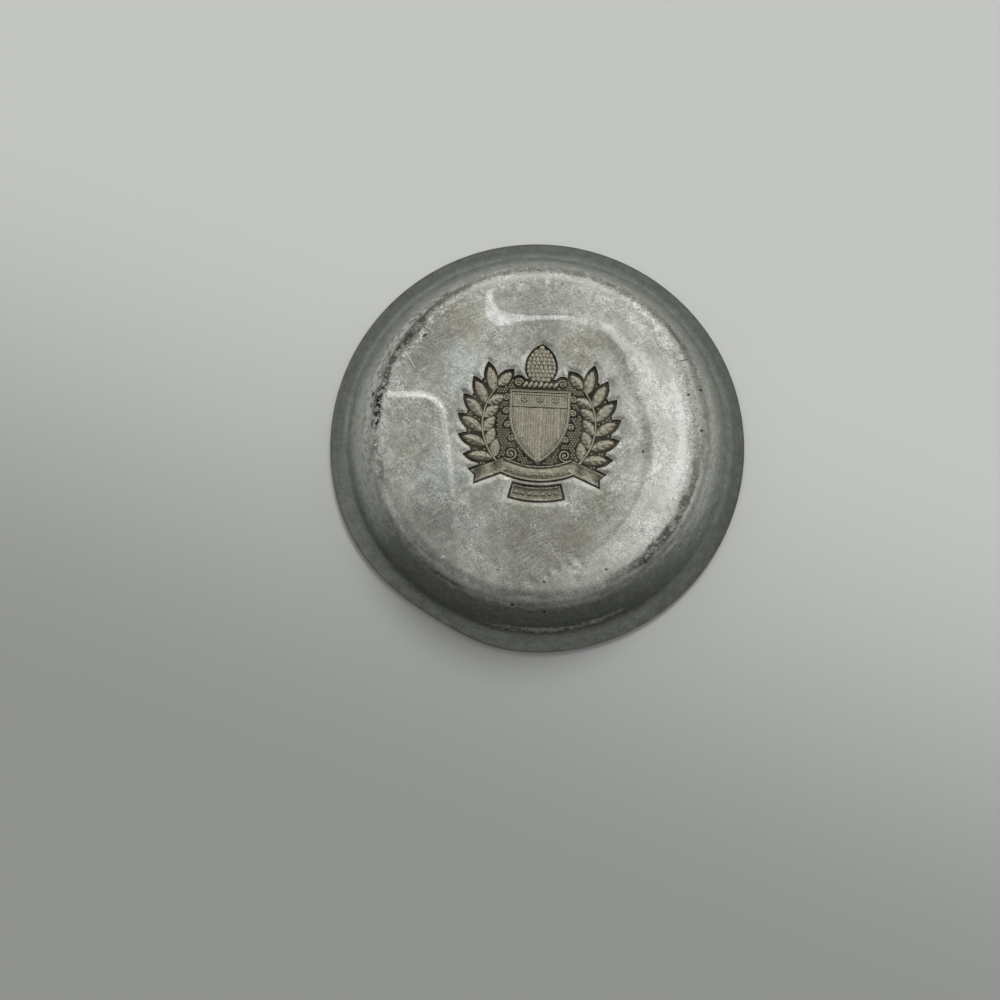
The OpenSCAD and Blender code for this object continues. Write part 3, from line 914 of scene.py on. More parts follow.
def crest_mesh():
    """The crest: a seed cone with rows of scales over a twisted bar, and a curl at each end of the bar."""
    bm = bmesh.new()
    low = -CONE_W / 2

    def body(u, t):
        y = mix(low, CONE_TIP, (t + 1) / 2)
        height = CONE_Z + CONE_CROWN * (1 - u * u)
        return Vector((u * max(LEAST_HALF, cone_half(y)), CONE_Y + y, height))

    relief_patch(bm, body, columns=20, rows=28)
    for row in range(CONE_ROWS):
        y = low + CONE_ROW_START + row * CONE_ROW_STEP
        half = cone_half(y) - SCALE_INSET
        scales = max(1, int(2 * half / SCALE_STEP) + 1)
        scales += (scales + row) % 2
        for k in range(scales):
            x = 0 if scales == 1 else mix(-half, half, k / (scales - 1))
            height = SCALE_Z + CONE_CROWN * (1 - (x / (half + SCALE_SPREAD)) ** 2)
            relief_bead(bm, (x, CONE_Y + y, height), SCALE_SIZE)
    for i in range(TWISTS):
        x = (i - (TWISTS - 1) / 2) * TORSE_W / TWISTS
        shape = Matrix.Translation((x, TORSE_Y, TWIST_Z)) @ Matrix.Rotation(TWIST_TURN, 4, "Z")
        shape = shape @ Matrix.Diagonal((*TWIST_SIZE, 1.0))
        bmesh.ops.create_uvsphere(bm, u_segments=14, v_segments=10, radius=1.0, matrix=shape)
    for side in (-1, 1):
        centre = (side * (TORSE_W / 2 + CURL_D * CREST_CURL_OUT), TORSE_Y + TORSE_H / 4)
        start = math.pi if side > 0 else 0.0
        relief_curl(bm, centre, CURL_D, start, side, **CREST_CURL)
    close_seams(bm)
    return bm


# Ribbon: direction of its middle, edge and crown of its section, fall at its ends, waves of the tails and the
# curls above it
DOWN = 1.5 * math.pi
RIBBON_EDGE = 0.34
RIBBON_EDGE_STEP = (0.66, 0.8)
RIBBON_CROWN = 0.16
RIBBON_CROWN_HALF = 0.6
RIBBON_FALL = 0.14
RIBBON_FALL_FROM = 0.7
TAIL_EDGE = 0.12
TAIL_EDGE_STEP = (0.55, 0.8)
TAIL_WAVE = 0.12
TAIL_WAVES = 1.6
TAIL_SEAT = 0.05
RIBBON_CURL_OUT = 0.42
RIBBON_CURL = {
    "gap": 0.3, "turns": 1.7, "height": 0.2, "radius": 0.34, "taper": 0.35,
    "eye_z": 0.18, "eye": (0.42, 0.42, 0.36),
}


def ring_point(radius, angle, height):
    """A point at an angle round the ribbon's centre."""
    return Vector((radius * math.cos(angle), RIBBON_Y + radius * math.sin(angle), height))


def ribbon_mesh():
    """The ribbon: a bowed band with raised edges, two waved tails and a curl above each end."""
    bm = bmesh.new()

    def band(u, t):
        angle = DOWN + t * RIBBON_HALF
        edge = RIBBON_EDGE * smooth_step(*RIBBON_EDGE_STEP, abs(u))
        crown = RIBBON_CROWN * max(0.0, 1 - (u / RIBBON_CROWN_HALF) ** 2)
        fall = RIBBON_FALL * smooth_step(RIBBON_FALL_FROM, 1.0, abs(t))
        height = RIBBON_RISE - RIBBON_EDGE + edge + crown - fall
        return ring_point(RIBBON_R + u * RIBBON_W / 2, angle, height)

    relief_patch(bm, band, columns=24, rows=64)
    for side in (-1, 1):
        end = DOWN + side * RIBBON_HALF
        joint = ring_point(RIBBON_R + RIBBON_W / 5, end, 0)
        place = Matrix.Translation(joint) @ Matrix.Rotation(end + side * (math.pi / 2 - TAIL_TURN), 4, "Z")

        def tail(u, t):
            s = (t + 1) / 2
            length = TAIL_L - TAIL_W / 3 * (1 - abs(u))
            x = mix(-TAIL_W / 2, length, s)
            edge = TAIL_EDGE * smooth_step(*TAIL_EDGE_STEP, abs(u))
            wave = TAIL_WAVE * math.cos(s * TAIL_WAVES * math.tau)
            return Vector((x, u * TAIL_W / 2, TAIL_RISE + wave + edge - TAIL_SEAT))

        relief_patch(bm, tail, columns=12, rows=30, place=place)
        angle = DOWN + side * RIBBON_CURL_ANGLE
        centre = ring_point(RIBBON_R - RIBBON_W / 2 - RIBBON_CURL_D * RIBBON_CURL_OUT, angle, 0)
        relief_curl(bm, (centre.x, centre.y), RIBBON_CURL_D, angle, side, **RIBBON_CURL)
    close_seams(bm)
    return bm


# Lower scroll: foot of its plate, edges and depth of its face, and its row of beads
SCROLL_FOOT = -0.4
SCROLL_EDGE_STEP = (0.55, 0.85)
SCROLL_END_STEP = (0.92, 0.97)
SCROLL_SUNK = 0.3
SCROLL_BEADS = 7
SCROLL_BEAD_SPAN = 0.8
SCROLL_BEAD_Z = 0.2
SCROLL_BEAD_SIZE = (0.55, 0.55, 0.3)


def lower_scroll_mesh():
    """The lower scroll: a plate that fills its pocket, a face with raised edges, and a row of beads."""
    bm = bmesh.new()

    def plate(u, t):
        angle = DOWN + t * (SCROLL_HALF + GROUND_MARGIN / SCROLL_R)
        return ring_point(SCROLL_R + u * (SCROLL_W / 2 + GROUND_MARGIN), angle, 0.0)

    def face(u, t):
        angle = DOWN + t * SCROLL_HALF
        across = smooth_step(*SCROLL_EDGE_STEP, abs(u))
        along = smooth_step(*SCROLL_END_STEP, abs(t))
        height = SCROLL_RISE - SCROLL_SUNK * (1 - max(across, along))
        return ring_point(SCROLL_R + u * SCROLL_W / 2, angle, height)

    relief_patch(bm, plate, columns=6, rows=30, foot=SCROLL_FOOT)
    relief_patch(bm, face, columns=22, rows=90)
    for i in range(SCROLL_BEADS):
        turn = DOWN + SCROLL_HALF * SCROLL_BEAD_SPAN * (2 * i / (SCROLL_BEADS - 1) - 1)
        relief_bead(bm, ring_point(SCROLL_R, turn, SCROLL_BEAD_Z), SCROLL_BEAD_SIZE)
    close_seams(bm)
    return bm


# Matting of the badge's ground: pitch and sides of its scales, their radii at foot and top, their height and
# depth in the plate, the bare margin round them and the probes that look for it
MAT_STEP = 0.66
MAT_SIDES = 6
MAT_FOOT_R = 0.37
MAT_TOP_R = 0.3
MAT_RISE = 0.2
MAT_SUNK = 0.05
MAT_FREE = 0.46
MAT_PROBES = 8


def matted_ground_mesh(reliefs):
    """Small low scales all over the ground plate where it is clear of its edge and of the reliefs."""
    plate_bm = merged_copy("badge_ground")
    plate = bvhtree.BVHTree.FromBMesh(plate_bm)
    plate_bm.free()
    trees = [bvhtree.BVHTree.FromBMesh(relief) for relief in reliefs]
    probes = [Vector((0, 0, 0))]
    for i in range(MAT_PROBES):
        probes.append(Vector(polar(MAT_FREE, math.tau * i / MAT_PROBES)))

    def on_plate(at):
        above = BADGE_PLACE @ at + Vector((0, 0, 1))
        hit = plate.ray_cast(above, Vector((0, 0, -1)))[0]
        return hit is not None and abs(hit.z - GROUND_TOP) < PLATE_TOLERANCE

    bm = bmesh.new()
    row_step = MAT_STEP * math.sin(math.radians(60))
    reach = int(BADGE_REACH / row_step)
    for row in range(-reach, reach + 1):
        for column in range(-reach, reach + 1):
            at = Vector(((column + 0.5 * (row % 2)) * MAT_STEP, row * row_step, 0))
            on_open_plate = all(on_plate(at + step) for step in probes)
            if on_open_plate and all(tree.find_nearest(at, MAT_FREE)[0] is None for tree in trees):
                bmesh.ops.create_cone(
                    bm, cap_ends=True, segments=MAT_SIDES, radius1=MAT_FOOT_R, radius2=MAT_TOP_R,
                    depth=MAT_RISE + MAT_SUNK,
                    matrix=Matrix.Translation(at + Vector((0, 0, (MAT_RISE - MAT_SUNK) / 2))),
                )
    return bm


# Materials

# Radii between which the rubbed ring round the shoulder comes in and fades out
WEAR_FROM_R = 35.4
WEAR_FULL_R = 38.8
WEAR_FADE_R = 42.2
WEAR_END_R = 46.0

# Length and width of the fine scratches
SCRATCH_L = 5.0
SCRATCH_W = 0.22

# Stains on the foot, and pale patches on the crescent pad that are painted highlight: place, reach, colour
# and strength
STAINS_AND_HIGHLIGHTS = (
    (-21.0, 28.0, 9.0, "#938e7f", 0.55),
    (10.5, 22.0, 7.0, "#827d6e", 0.65),
    (0.0, 26.0, 7.0, "#77736a", 0.6),
    (1.0, 34.0, 9.0, "#8d8e87", 0.65),
    (-9.0, 34.0, 5.0, "#93948d", 0.5),
    (-29.0, 5.0, 6.0, "#a3a49e", 0.5),
    (2.0, -26.0, 16.0, "#858175", 0.5),
    (16.0, -18.0, 6.0, "#807d6f", 0.6),
    (9.0, -26.0, 6.0, "#827f71", 0.4),
    (-31.0, -4.0, 5.0, "#8f8977", 0.5),
    (-19.0, 16.0, 6.0, "#b7c1bf", 0.55),
    (-9.0, 23.5, 5.0, "#8f8d82", 0.6),
    (-24.0, -10.0, 6.0, "#b4bbb8", 0.4),
    (-27.0, 27.0, 8.0, "#83847d", 0.55),
    (-28.0, 18.0, 8.0, "#86877f", 0.5),
    # Pale patches on the crescent pad at the right: painted highlight
    (27.0, 10.0, 10.0, "#d6d7d1", 0.45),
    (31.0, -12.0, 9.0, "#d8d9d3", 0.4),
    (18.0, -31.0, 5.0, "#cfd0ca", 0.25),
    (-2.0, -38.0, 9.0, "#7f7d73", 0.4),
    (-27.0, -25.0, 12.0, "#797a72", 0.65),
)

# Arcs of wear and tarnish, and of painted light on the wall and along the crease: middle and half angle,
# radius, half width, strength, colour and share of grain
WEAR_AND_LIGHT_ARCS = (
    (75.0, 55.0, 38.4, 2.4, 0.15, "#e3e4df", 0.6),
    (-40.0, 30.0, 37.6, 2.0, 0.3, "#dcddd8", 0.6),
    (156.0, 46.0, 43.2, 2.4, 0.45, "#55554d", 0.0),
    (156.0, 46.0, 43.0, 2.4, 0.8, "#dfe1da", 1.0),
    (152.0, 26.0, 40.6, 1.6, 0.9, "#26241d", 0.7),
    (88.0, 40.0, 39.7, 1.5, 0.75, "#9b9d95", 0.5),
    (46.0, 24.0, 30.6, 2.0, 0.35, "#eceee9", 0.4),
    (46.0, 26.0, 34.6, 2.2, 0.35, "#96978f", 0.4),
    (-45.0, 26.0, 31.2, 2.6, 0.25, "#8b8b83", 0.3),
    (-108.0, 70.0, 38.5, 2.2, 0.45, "#85867f", 0.2),
    (128.0, 22.0, 41.2, 1.3, 0.6, "#3a372e", 0.9),
    (172.0, 10.0, 40.7, 2.0, 1.0, "#151410", 0.8),
    (190.0, 13.0, 40.6, 2.0, 0.75, "#3a3830", 0.8),
    (-2.0, 28.0, 35.2, 1.6, 0.5, "#eceee9", 0.3),
    (-35.0, 34.0, 39.9, 1.6, 0.9, "#34322b", 0.5),
    (-40.0, 28.0, 41.8, 1.3, 0.65, "#d8dad3", 0.4),
    (-108.0, 62.0, 41.9, 1.3, 0.6, "#d8dad3", 0.4),
    (0.0, 36.0, 40.2, 3.2, 0.5, "#66645c", 0.6),
    (6.0, 22.0, 41.4, 1.5, 0.4, "#4a4841", 0.9),
    # Paler on the wall at the right and the left: painted light
    (-6.0, 34.0, 43.4, 3.0, 0.5, "#cfd2ca", 0.6),
    (184.0, 34.0, 45.0, 4.6, 0.6, "#cfd2ca", 0.5),
    (36.0, 14.0, 42.6, 1.0, 0.4, "#4f4d46", 0.8),
    (-122.0, 9.0, 43.0, 0.7, 0.55, "#2b2a25", 0.95),
    # Pale grainy line along the crease on the near side: scuffs and painted highlight
    (-84.0, 24.0, 49.1, 0.8, 0.6, "#c4c7bf", 0.9),
)

# Single marks: place, half-lengths along and across, turn in degrees and colour
MARKS = (
    (40.2, 10.4, 0.5, 0.4, 0.0, "#191813"),
    (37.0, 9.0, 0.5, 0.3, 20.0, "#1e1d18"),
    (40.0, 0.0, 0.5, 0.4, 0.0, "#191813"),
    (25.5, -5.2, 0.4, 0.4, 0.0, "#2a2823"),
    (16.0, -34.0, 0.4, 0.3, 0.0, "#26241f"),
    (1.0, -37.0, 0.35, 0.3, 0.0, "#26241f"),
    (-6.7, -42.5, 0.55, 0.35, 0.0, "#1b1a16"),
    (1.2, -44.2, 0.4, 0.35, 0.0, "#1b1a16"),
    (-28.5, 24.5, 0.7, 0.4, 40.0, "#302d25"),
    (-41.5, 9.7, 0.7, 0.4, 80.0, "#1c1a15"),
    (36.2, 17.9, 1.4, 0.16, 15.0, "#34322c"),
    (34.0, 25.0, 4.5, 0.16, -58.0, "#4a4740"),
    (-32.0, 18.2, 2.1, 0.13, -62.0, "#dadcd8"),
    (-30.0, 2.5, 0.5, 0.4, 0.0, "#d2d3ce"),
    (-27.0, 3.7, 0.4, 0.4, 0.0, "#cdcec9"),
    (-31.0, -14.0, 0.6, 0.4, 30.0, "#cbccc7"),
    (-25.5, -14.0, 0.5, 0.4, 0.0, "#cbccc7"),
    (-23.5, -31.0, 0.6, 0.4, 20.0, "#c9cac5"),
)


def pewter_dish():
    """Pewter, planished and handled for years: soft grey gloss under cloudy tarnish, rubbed bright and gritty
    round the foot and dull green-grey down the wall, with painted highlights and painted shade on the ramps,
    the wall, the crease and the rim's edge."""
    material, tree = new_material("pewter_planished_tarnished")
    place = add_node(tree, "ShaderNodeTexCoord", out="Object")
    place = add_node(tree, "ShaderNodeVectorMath", {0: place, "Scale": 1 / MM}, operation="SCALE")
    axes = add_node(tree, "ShaderNodeSeparateXYZ", {0: place}).node.outputs
    flat = add_node(tree, "ShaderNodeCombineXYZ", {"X": axes["X"], "Y": axes["Y"]})
    radius = add_node(tree, "ShaderNodeVectorMath", {0: flat}, out="Value", operation="LENGTH")
    heading = add_node(tree, "ShaderNodeVectorMath", {0: flat}, operation="NORMALIZE")
    angle = add_node(tree, "ShaderNodeMath", {0: axes["Y"], 1: axes["X"]}, operation="ARCTAN2")
    round_wall = add_node(tree, "ShaderNodeCombineXYZ", {"X": radius, "Y": axes["Z"], "Z": angle})
    grains = {}
    for name, at, size, detail, rough in (
        ("cloud", place, 15.0, 4.0, 0.6),
        ("haze", flat, 7.0, 5.0, 0.65),
        ("mottle", place, 2.6, 5.0, 0.7),
        ("fleck", place, 1.5, 6.0, 0.78),
        ("grit", place, 0.48, 3.0, 0.8),
        ("streak", round_wall, 0.9, 4.0, 0.7),
    ):
        grains[name] = add_node(
            tree, "ShaderNodeTexNoise",
            {"Vector": at, "Scale": 1 / size, "Detail": detail, "Roughness": rough},
        )

    # Cloudy ground tone
    share = add_node(
        tree, "ShaderNodeMapRange", {"Value": grains["cloud"], "From Min": 0.36, "From Max": 0.64}
    )
    tone = add_node(
        tree, "ShaderNodeMixRGB",
        {"Fac": share, "Color1": linear("#999a8f"), "Color2": linear("#b9bcb4")},
    )
    share = add_node(
        tree, "ShaderNodeMapRange",
        {"Value": grains["haze"], "From Min": 0.5, "From Max": 0.68, "To Max": 0.4},
    )
    tone = add_node(tree, "ShaderNodeMixRGB", {"Fac": share, "Color1": tone, "Color2": linear("#cfd1cb")})
    plain = tone

    # Stains and painted highlights with wandering edges
    wander = add_node(
        tree, "ShaderNodeVectorMath", {0: grains["haze"].node.outputs["Color"], 1: (0.5, 0.5, 0.5)},
        operation="SUBTRACT",
    )
    wander = add_node(tree, "ShaderNodeVectorMath", {0: wander, "Scale": 14.0}, operation="SCALE")
    wander = add_node(tree, "ShaderNodeVectorMath", {0: wander, 1: (1.0, 1.0, 0.0)}, operation="MULTIPLY")
    wander = add_node(tree, "ShaderNodeVectorMath", {0: wander, 1: flat}, operation="ADD")
    for x, y, reach, code, strength in STAINS_AND_HIGHLIGHTS:
        away = add_node(
            tree, "ShaderNodeVectorMath", {0: wander, 1: (x, y, 0.0)}, out="Value", operation="DISTANCE"
        )
        share = add_node(
            tree, "ShaderNodeMapRange",
            {"Value": away, "From Min": 1.25 * reach, "From Max": 0.3 * reach, "To Max": strength},
            interpolation_type="SMOOTHSTEP",
        )
        tone = add_node(tree, "ShaderNodeMixRGB", {"Fac": share, "Color1": tone, "Color2": linear(code)})

    # Ramps between pads and panel, painted pale as rubbing and painted highlight, or dark as painted shade
    ramp_wear_and_light_at = add_node(tree, "ShaderNodeAttribute", out="Fac", attribute_name="ramp_wear_and_light")
    for full, code, strength in ((1.0, "#e6e7e2", 0.9), (-1.0, "#5b5950", 0.8)):
        share = add_node(
            tree, "ShaderNodeMapRange", {"Value": ramp_wear_and_light_at, "From Max": full, "To Max": strength}
        )
        tone = add_node(tree, "ShaderNodeMixRGB", {"Fac": share, "Color1": tone, "Color2": linear(code)})

    # Fine scratches in two directions
    for turn, code, strength in ((28.0, "#dcddd8", 0.5), (-52.0, "#55534b", 0.5)):
        at = add_node(
            tree, "ShaderNodeMapping",
            {"Vector": flat, "Rotation": (0.0, 0.0, math.radians(turn)),
             "Scale": (SCRATCH_L, SCRATCH_W, 1.0)},
            vector_type="TEXTURE",
        )
        line = add_node(tree, "ShaderNodeTexNoise", {"Vector": at, "Scale": 1.0, "Detail": 1.0})
        share = add_node(
            tree, "ShaderNodeMapRange",
            {"Value": line, "From Min": 0.62, "From Max": 0.72, "To Max": strength},
        )
        tone = add_node(tree, "ShaderNodeMixRGB", {"Fac": share, "Color1": tone, "Color2": linear(code)})

    # Dull wall and flange with streaks round them. On the near side the wall is painted darker as painted
    # shade, and the flange paler as painted light
    near_side = add_node(
        tree, "ShaderNodeVectorMath", {0: heading, 1: (-0.17, -0.985, 0.0)}, out="Value",
        operation="DOT_PRODUCT",
    )
    for high, low, far_codes, near_painted_light_codes in (
        (15.2, 12.5, ("#979a92", "#b4b7ae"), ("#62655e", "#777a72")),
        (12.0, 5.5, ("#868a82", "#a5a9a0"), ("#555852", "#6a6d66")),
        (CREASE_Z + 0.6, CREASE_Z - 1.2, ("#5a5e57", "#767a72"), ("#82867c", "#9ea299")),
    ):
        on_near = add_node(
            tree, "ShaderNodeMapRange", {"Value": near_side, "From Min": 0.1, "From Max": 0.9},
            interpolation_type="SMOOTHSTEP",
        )
        ends = [
            add_node(
                tree, "ShaderNodeMixRGB", {"Fac": on_near, "Color1": linear(far), "Color2": linear(near)}
            )
            for far, near in zip(far_codes, near_painted_light_codes)
        ]
        dull = add_node(
            tree, "ShaderNodeMixRGB", {"Fac": grains["streak"], "Color1": ends[0], "Color2": ends[1]}
        )
        share = add_node(
            tree, "ShaderNodeMapRange", {"Value": axes["Z"], "From Min": high, "From Max": low},
            interpolation_type="SMOOTHSTEP",
        )
        tone = add_node(tree, "ShaderNodeMixRGB", {"Fac": share, "Color1": tone, "Color2": dull})

    # Fine mottle all over, and grit in patches
    patch = add_node(
        tree, "ShaderNodeMapRange",
        {"Value": grains["haze"], "From Min": 0.42, "From Max": 0.6, "To Min": 0.35, "To Max": 1.0},
    )
    on_wall = add_node(
        tree, "ShaderNodeMapRange", {"Value": axes["Z"], "From Min": 15.6, "From Max": 14.0, "To Max": 0.7}
    )
    patch = add_node(tree, "ShaderNodeMath", {0: patch, 1: on_wall}, operation="MAXIMUM")
    off_flange = add_node(
        tree, "ShaderNodeMapRange", {"Value": axes["Z"], "From Min": 3.0, "From Max": 6.5, "To Min": 0.45}
    )
    patch = add_node(tree, "ShaderNodeMath", {0: patch, 1: off_flange}, operation="MULTIPLY")
    for name, low, high, strength in (
        ("mottle", 0.84, 1.16, 1.0), ("fleck", 0.84, 1.16, patch), ("grit", 0.55, 1.45, patch),
    ):
        share = add_node(
            tree, "ShaderNodeMapRange",
            {"Value": grains[name], "From Min": 0.36, "From Max": 0.64, "To Min": low, "To Max": high},
        )
        tone = add_node(
            tree, "ShaderNodeMixRGB", {"Fac": strength, "Color1": tone, "Color2": share},
            blend_type="MULTIPLY",
        )

    # Painted shade on the rim's outer edge, low down by the floor
    share = add_node(
        tree, "ShaderNodeMapRange", {"Value": axes["Z"], "From Min": RIM_T + 0.1, "From Max": RIM_T - 0.2}
    )
    outmost = add_node(
        tree, "ShaderNodeMapRange", {"Value": radius, "From Min": RIM_R - 2.4, "From Max": RIM_R - 2.0}
    )
    share = add_node(tree, "ShaderNodeMath", {0: share, 1: outmost}, operation="MULTIPLY")
    tone = add_node(tree, "ShaderNodeMixRGB", {"Fac": share, "Color1": tone, "Color2": linear("#3e3f3a")})

    # Rubbed ring of bright flecks and dark specks round the shoulder
    ring = 1.0
    for start, end in ((WEAR_FROM_R, WEAR_FULL_R), (WEAR_END_R, WEAR_FADE_R)):
        share = add_node(
            tree, "ShaderNodeMapRange", {"Value": radius, "From Min": start, "From Max": end},
            interpolation_type="SMOOTHSTEP",
        )
        ring = add_node(tree, "ShaderNodeMath", {0: ring, 1: share}, operation="MULTIPLY")
    far_side = add_node(
        tree, "ShaderNodeMapRange",
        {"Value": near_side, "From Min": 0.75, "From Max": 0.1, "To Min": 0.25, "To Max": 1.0},
    )
    ring = add_node(tree, "ShaderNodeMath", {0: ring, 1: far_side}, operation="MULTIPLY")
    for name, low, high, code, strength in (
        ("fleck", 0.52, 0.6, "#eff0ec", 0.52), ("grit", 0.44, 0.37, "#3f3e37", 0.6),
    ):
        fleck = add_node(
            tree, "ShaderNodeMapRange",
            {"Value": grains[name], "From Min": low, "From Max": high, "To Max": strength},
        )
        share = add_node(tree, "ShaderNodeMath", {0: fleck, 1: ring}, operation="MULTIPLY")
        tone = add_node(tree, "ShaderNodeMixRGB", {"Fac": share, "Color1": tone, "Color2": linear(code)})

    # Arcs of wear, tarnish and painted light that wander a little
    wobble = add_node(
        tree, "ShaderNodeMapRange",
        {"Value": grains["haze"], "From Min": 0.3, "From Max": 0.7, "To Min": -0.7, "To Max": 0.7},
    )
    arc_at = add_node(tree, "ShaderNodeMath", {0: radius, 1: wobble}, operation="ADD")
    for middle, half, arc_r, arc_w, strength, code, grainy in WEAR_AND_LIGHT_ARCS:
        way = polar(1.0, math.radians(middle))
        along = add_node(
            tree, "ShaderNodeVectorMath", {0: heading, 1: way}, out="Value", operation="DOT_PRODUCT"
        )
        along = add_node(
            tree, "ShaderNodeMapRange",
            {"Value": along, "From Min": math.cos(math.radians(half)),
             "From Max": math.cos(math.radians(0.5 * half)), "To Max": strength},
        )
        across = add_node(tree, "ShaderNodeMath", {0: arc_at, 1: arc_r}, operation="SUBTRACT")
        across = add_node(tree, "ShaderNodeMath", {0: across}, operation="ABSOLUTE")
        across = add_node(
            tree, "ShaderNodeMapRange", {"Value": across, "From Min": arc_w, "From Max": 0.3 * arc_w},
            interpolation_type="SMOOTHSTEP",
        )
        patchy = add_node(
            tree, "ShaderNodeMapRange",
            {"Value": grains["fleck"], "From Min": 0.44, "From Max": 0.52,
             "To Min": 1 - grainy, "To Max": 1.0},
        )
        share = add_node(tree, "ShaderNodeMath", {0: along, 1: across}, operation="MULTIPLY")
        share = add_node(tree, "ShaderNodeMath", {0: share, 1: patchy}, operation="MULTIPLY")
        tone = add_node(tree, "ShaderNodeMixRGB", {"Fac": share, "Color1": tone, "Color2": linear(code)})

    # Pits and single marks
    pits = add_node(
        tree, "ShaderNodeTexVoronoi", {"Vector": place, "Scale": 1 / 6.0}, out="Distance"
    )
    share = add_node(
        tree, "ShaderNodeMapRange", {"Value": pits, "From Min": 0.055, "From Max": 0.02, "To Max": 0.7}
    )
    tone = add_node(
        tree, "ShaderNodeMixRGB", {"Fac": share, "Color1": tone, "Color2": linear("#3c3a33")}
    )
    for x, y, long, wide, turn, code in MARKS:
        at = add_node(
            tree, "ShaderNodeMapping",
            {"Vector": flat, "Location": (x, y, 0.0), "Rotation": (0.0, 0.0, math.radians(turn)),
             "Scale": (long, wide, 1.0)},
            vector_type="TEXTURE",
        )
        away = add_node(tree, "ShaderNodeVectorMath", {0: at}, out="Value", operation="LENGTH")
        share = add_node(
            tree, "ShaderNodeMapRange", {"Value": away, "From Min": 1.2, "From Max": 0.6, "To Max": 0.85}
        )
        tone = add_node(tree, "ShaderNodeMixRGB", {"Fac": share, "Color1": tone, "Color2": linear(code)})

    # The hollow side, which faces the floor, keeps the plain ground tone
    facing = add_node(tree, "ShaderNodeNewGeometry", out="Normal")
    facing = add_node(tree, "ShaderNodeSeparateXYZ", {0: facing}).node.outputs["Z"]
    outside = add_node(tree, "ShaderNodeMapRange", {"Value": facing, "From Min": -0.1, "From Max": 0.0})
    tone = add_node(tree, "ShaderNodeMixRGB", {"Fac": outside, "Color1": plain, "Color2": tone})

    # Gloss, duller down the wall, and fine tooth
    gloss = add_node(
        tree, "ShaderNodeMapRange",
        {"Value": axes["Z"], "From Min": DISH_H - 0.6, "From Max": DISH_H - 4,
         "To Min": 0.32, "To Max": 0.46},
    )
    uneven = add_node(
        tree, "ShaderNodeMapRange",
        {"Value": grains["mottle"], "From Min": 0.3, "From Max": 0.7, "To Min": -0.06, "To Max": 0.06},
    )
    gloss = add_node(tree, "ShaderNodeMath", {0: gloss, 1: uneven}, operation="ADD")
    bump = add_node(
        tree, "ShaderNodeBump", {"Height": grains["grit"], "Strength": 0.35, "Distance": 0.03 * MM},
        out="Normal",
    )
    shader = add_node(
        tree, "ShaderNodeBsdfPrincipled",
        {"Base Color": tone, "Metallic": 1.0, "Roughness": gloss, "Normal": bump},
    )
    add_node(tree, "ShaderNodeOutputMaterial", {"Surface": shader})
    return material


def pewter_badge():
    """Struck pewter, brown with age and darkened by painted shade in its hollows, and rubbed paler on its
    high places.
    """
    material, tree = new_material("pewter_struck_darkened")
    place = add_node(tree, "ShaderNodeTexCoord", out="Object")
    place = add_node(tree, "ShaderNodeVectorMath", {0: place, "Scale": 1 / MM}, operation="SCALE")
    axes = add_node(tree, "ShaderNodeSeparateXYZ", {0: place}).node.outputs
    grain = add_node(
        tree, "ShaderNodeTexNoise", {"Vector": place, "Scale": 1 / 0.6, "Detail": 3.0, "Roughness": 0.6}
    )
    cloud = add_node(
        tree, "ShaderNodeTexNoise", {"Vector": place, "Scale": 1 / 5.0, "Detail": 3.0, "Roughness": 0.6}
    )
    # Darker towards the ground: brown patina in the hollows with painted shade there, and paler on the high
    # places where rubbed
    rubbed = add_node(
        tree, "ShaderNodeMapRange",
        {"Value": axes["Z"], "From Min": GROUND_TOP, "From Max": GROUND_TOP + 0.35},
        interpolation_type="SMOOTHSTEP",
    )
    tone = add_node(
        tree, "ShaderNodeMixRGB",
        {"Fac": rubbed, "Color1": linear("#2b2721"), "Color2": linear("#979383")},
    )
    share = add_node(
        tree, "ShaderNodeMapRange", {"Value": cloud, "From Min": 0.35, "From Max": 0.7, "To Max": 0.35}
    )
    tone = add_node(tree, "ShaderNodeMixRGB", {"Fac": share, "Color1": tone, "Color2": linear("#7d786a")})
    share = add_node(
        tree, "ShaderNodeMapRange",
        {"Value": grain, "From Min": 0.3, "From Max": 0.7, "To Min": 0.75, "To Max": 1.2},
    )
    tone = add_node(
        tree, "ShaderNodeMixRGB", {"Fac": 1.0, "Color1": tone, "Color2": share}, blend_type="MULTIPLY"
    )
    dots = add_node(
        tree, "ShaderNodeTexVoronoi", {"Vector": place, "Scale": 1 / 0.7, "Randomness": 0.7}, out="Distance"
    )
    tooth = add_node(tree, "ShaderNodeMath", {0: grain, 1: dots}, operation="SUBTRACT")
    bump = add_node(
        tree, "ShaderNodeBump", {"Height": tooth, "Strength": 0.8, "Distance": 0.08 * MM}, out="Normal"
    )
    shader = add_node(
        tree, "ShaderNodeBsdfPrincipled",
        {"Base Color": tone, "Metallic": 1.0, "Roughness": 0.22, "Normal": bump},
    )
    add_node(tree, "ShaderNodeOutputMaterial", {"Surface": shader})
    return material


# Build the pieces

DISH_FINISH = pewter_dish()
BADGE_FINISH = pewter_badge()

PLATES = ("badge_ground", "lower_scroll")
dish = dish_mesh()
raise_lips(dish, PLATES, GROUND_TOP)
for plate_node in PLATES:
    dish = cut_pocket(dish, plate_node, GROUND_TOP)
mark_ramp_wear_and_light(dish)
add_piece("dish", dish, DISH_FINISH, ["dish_shell"])

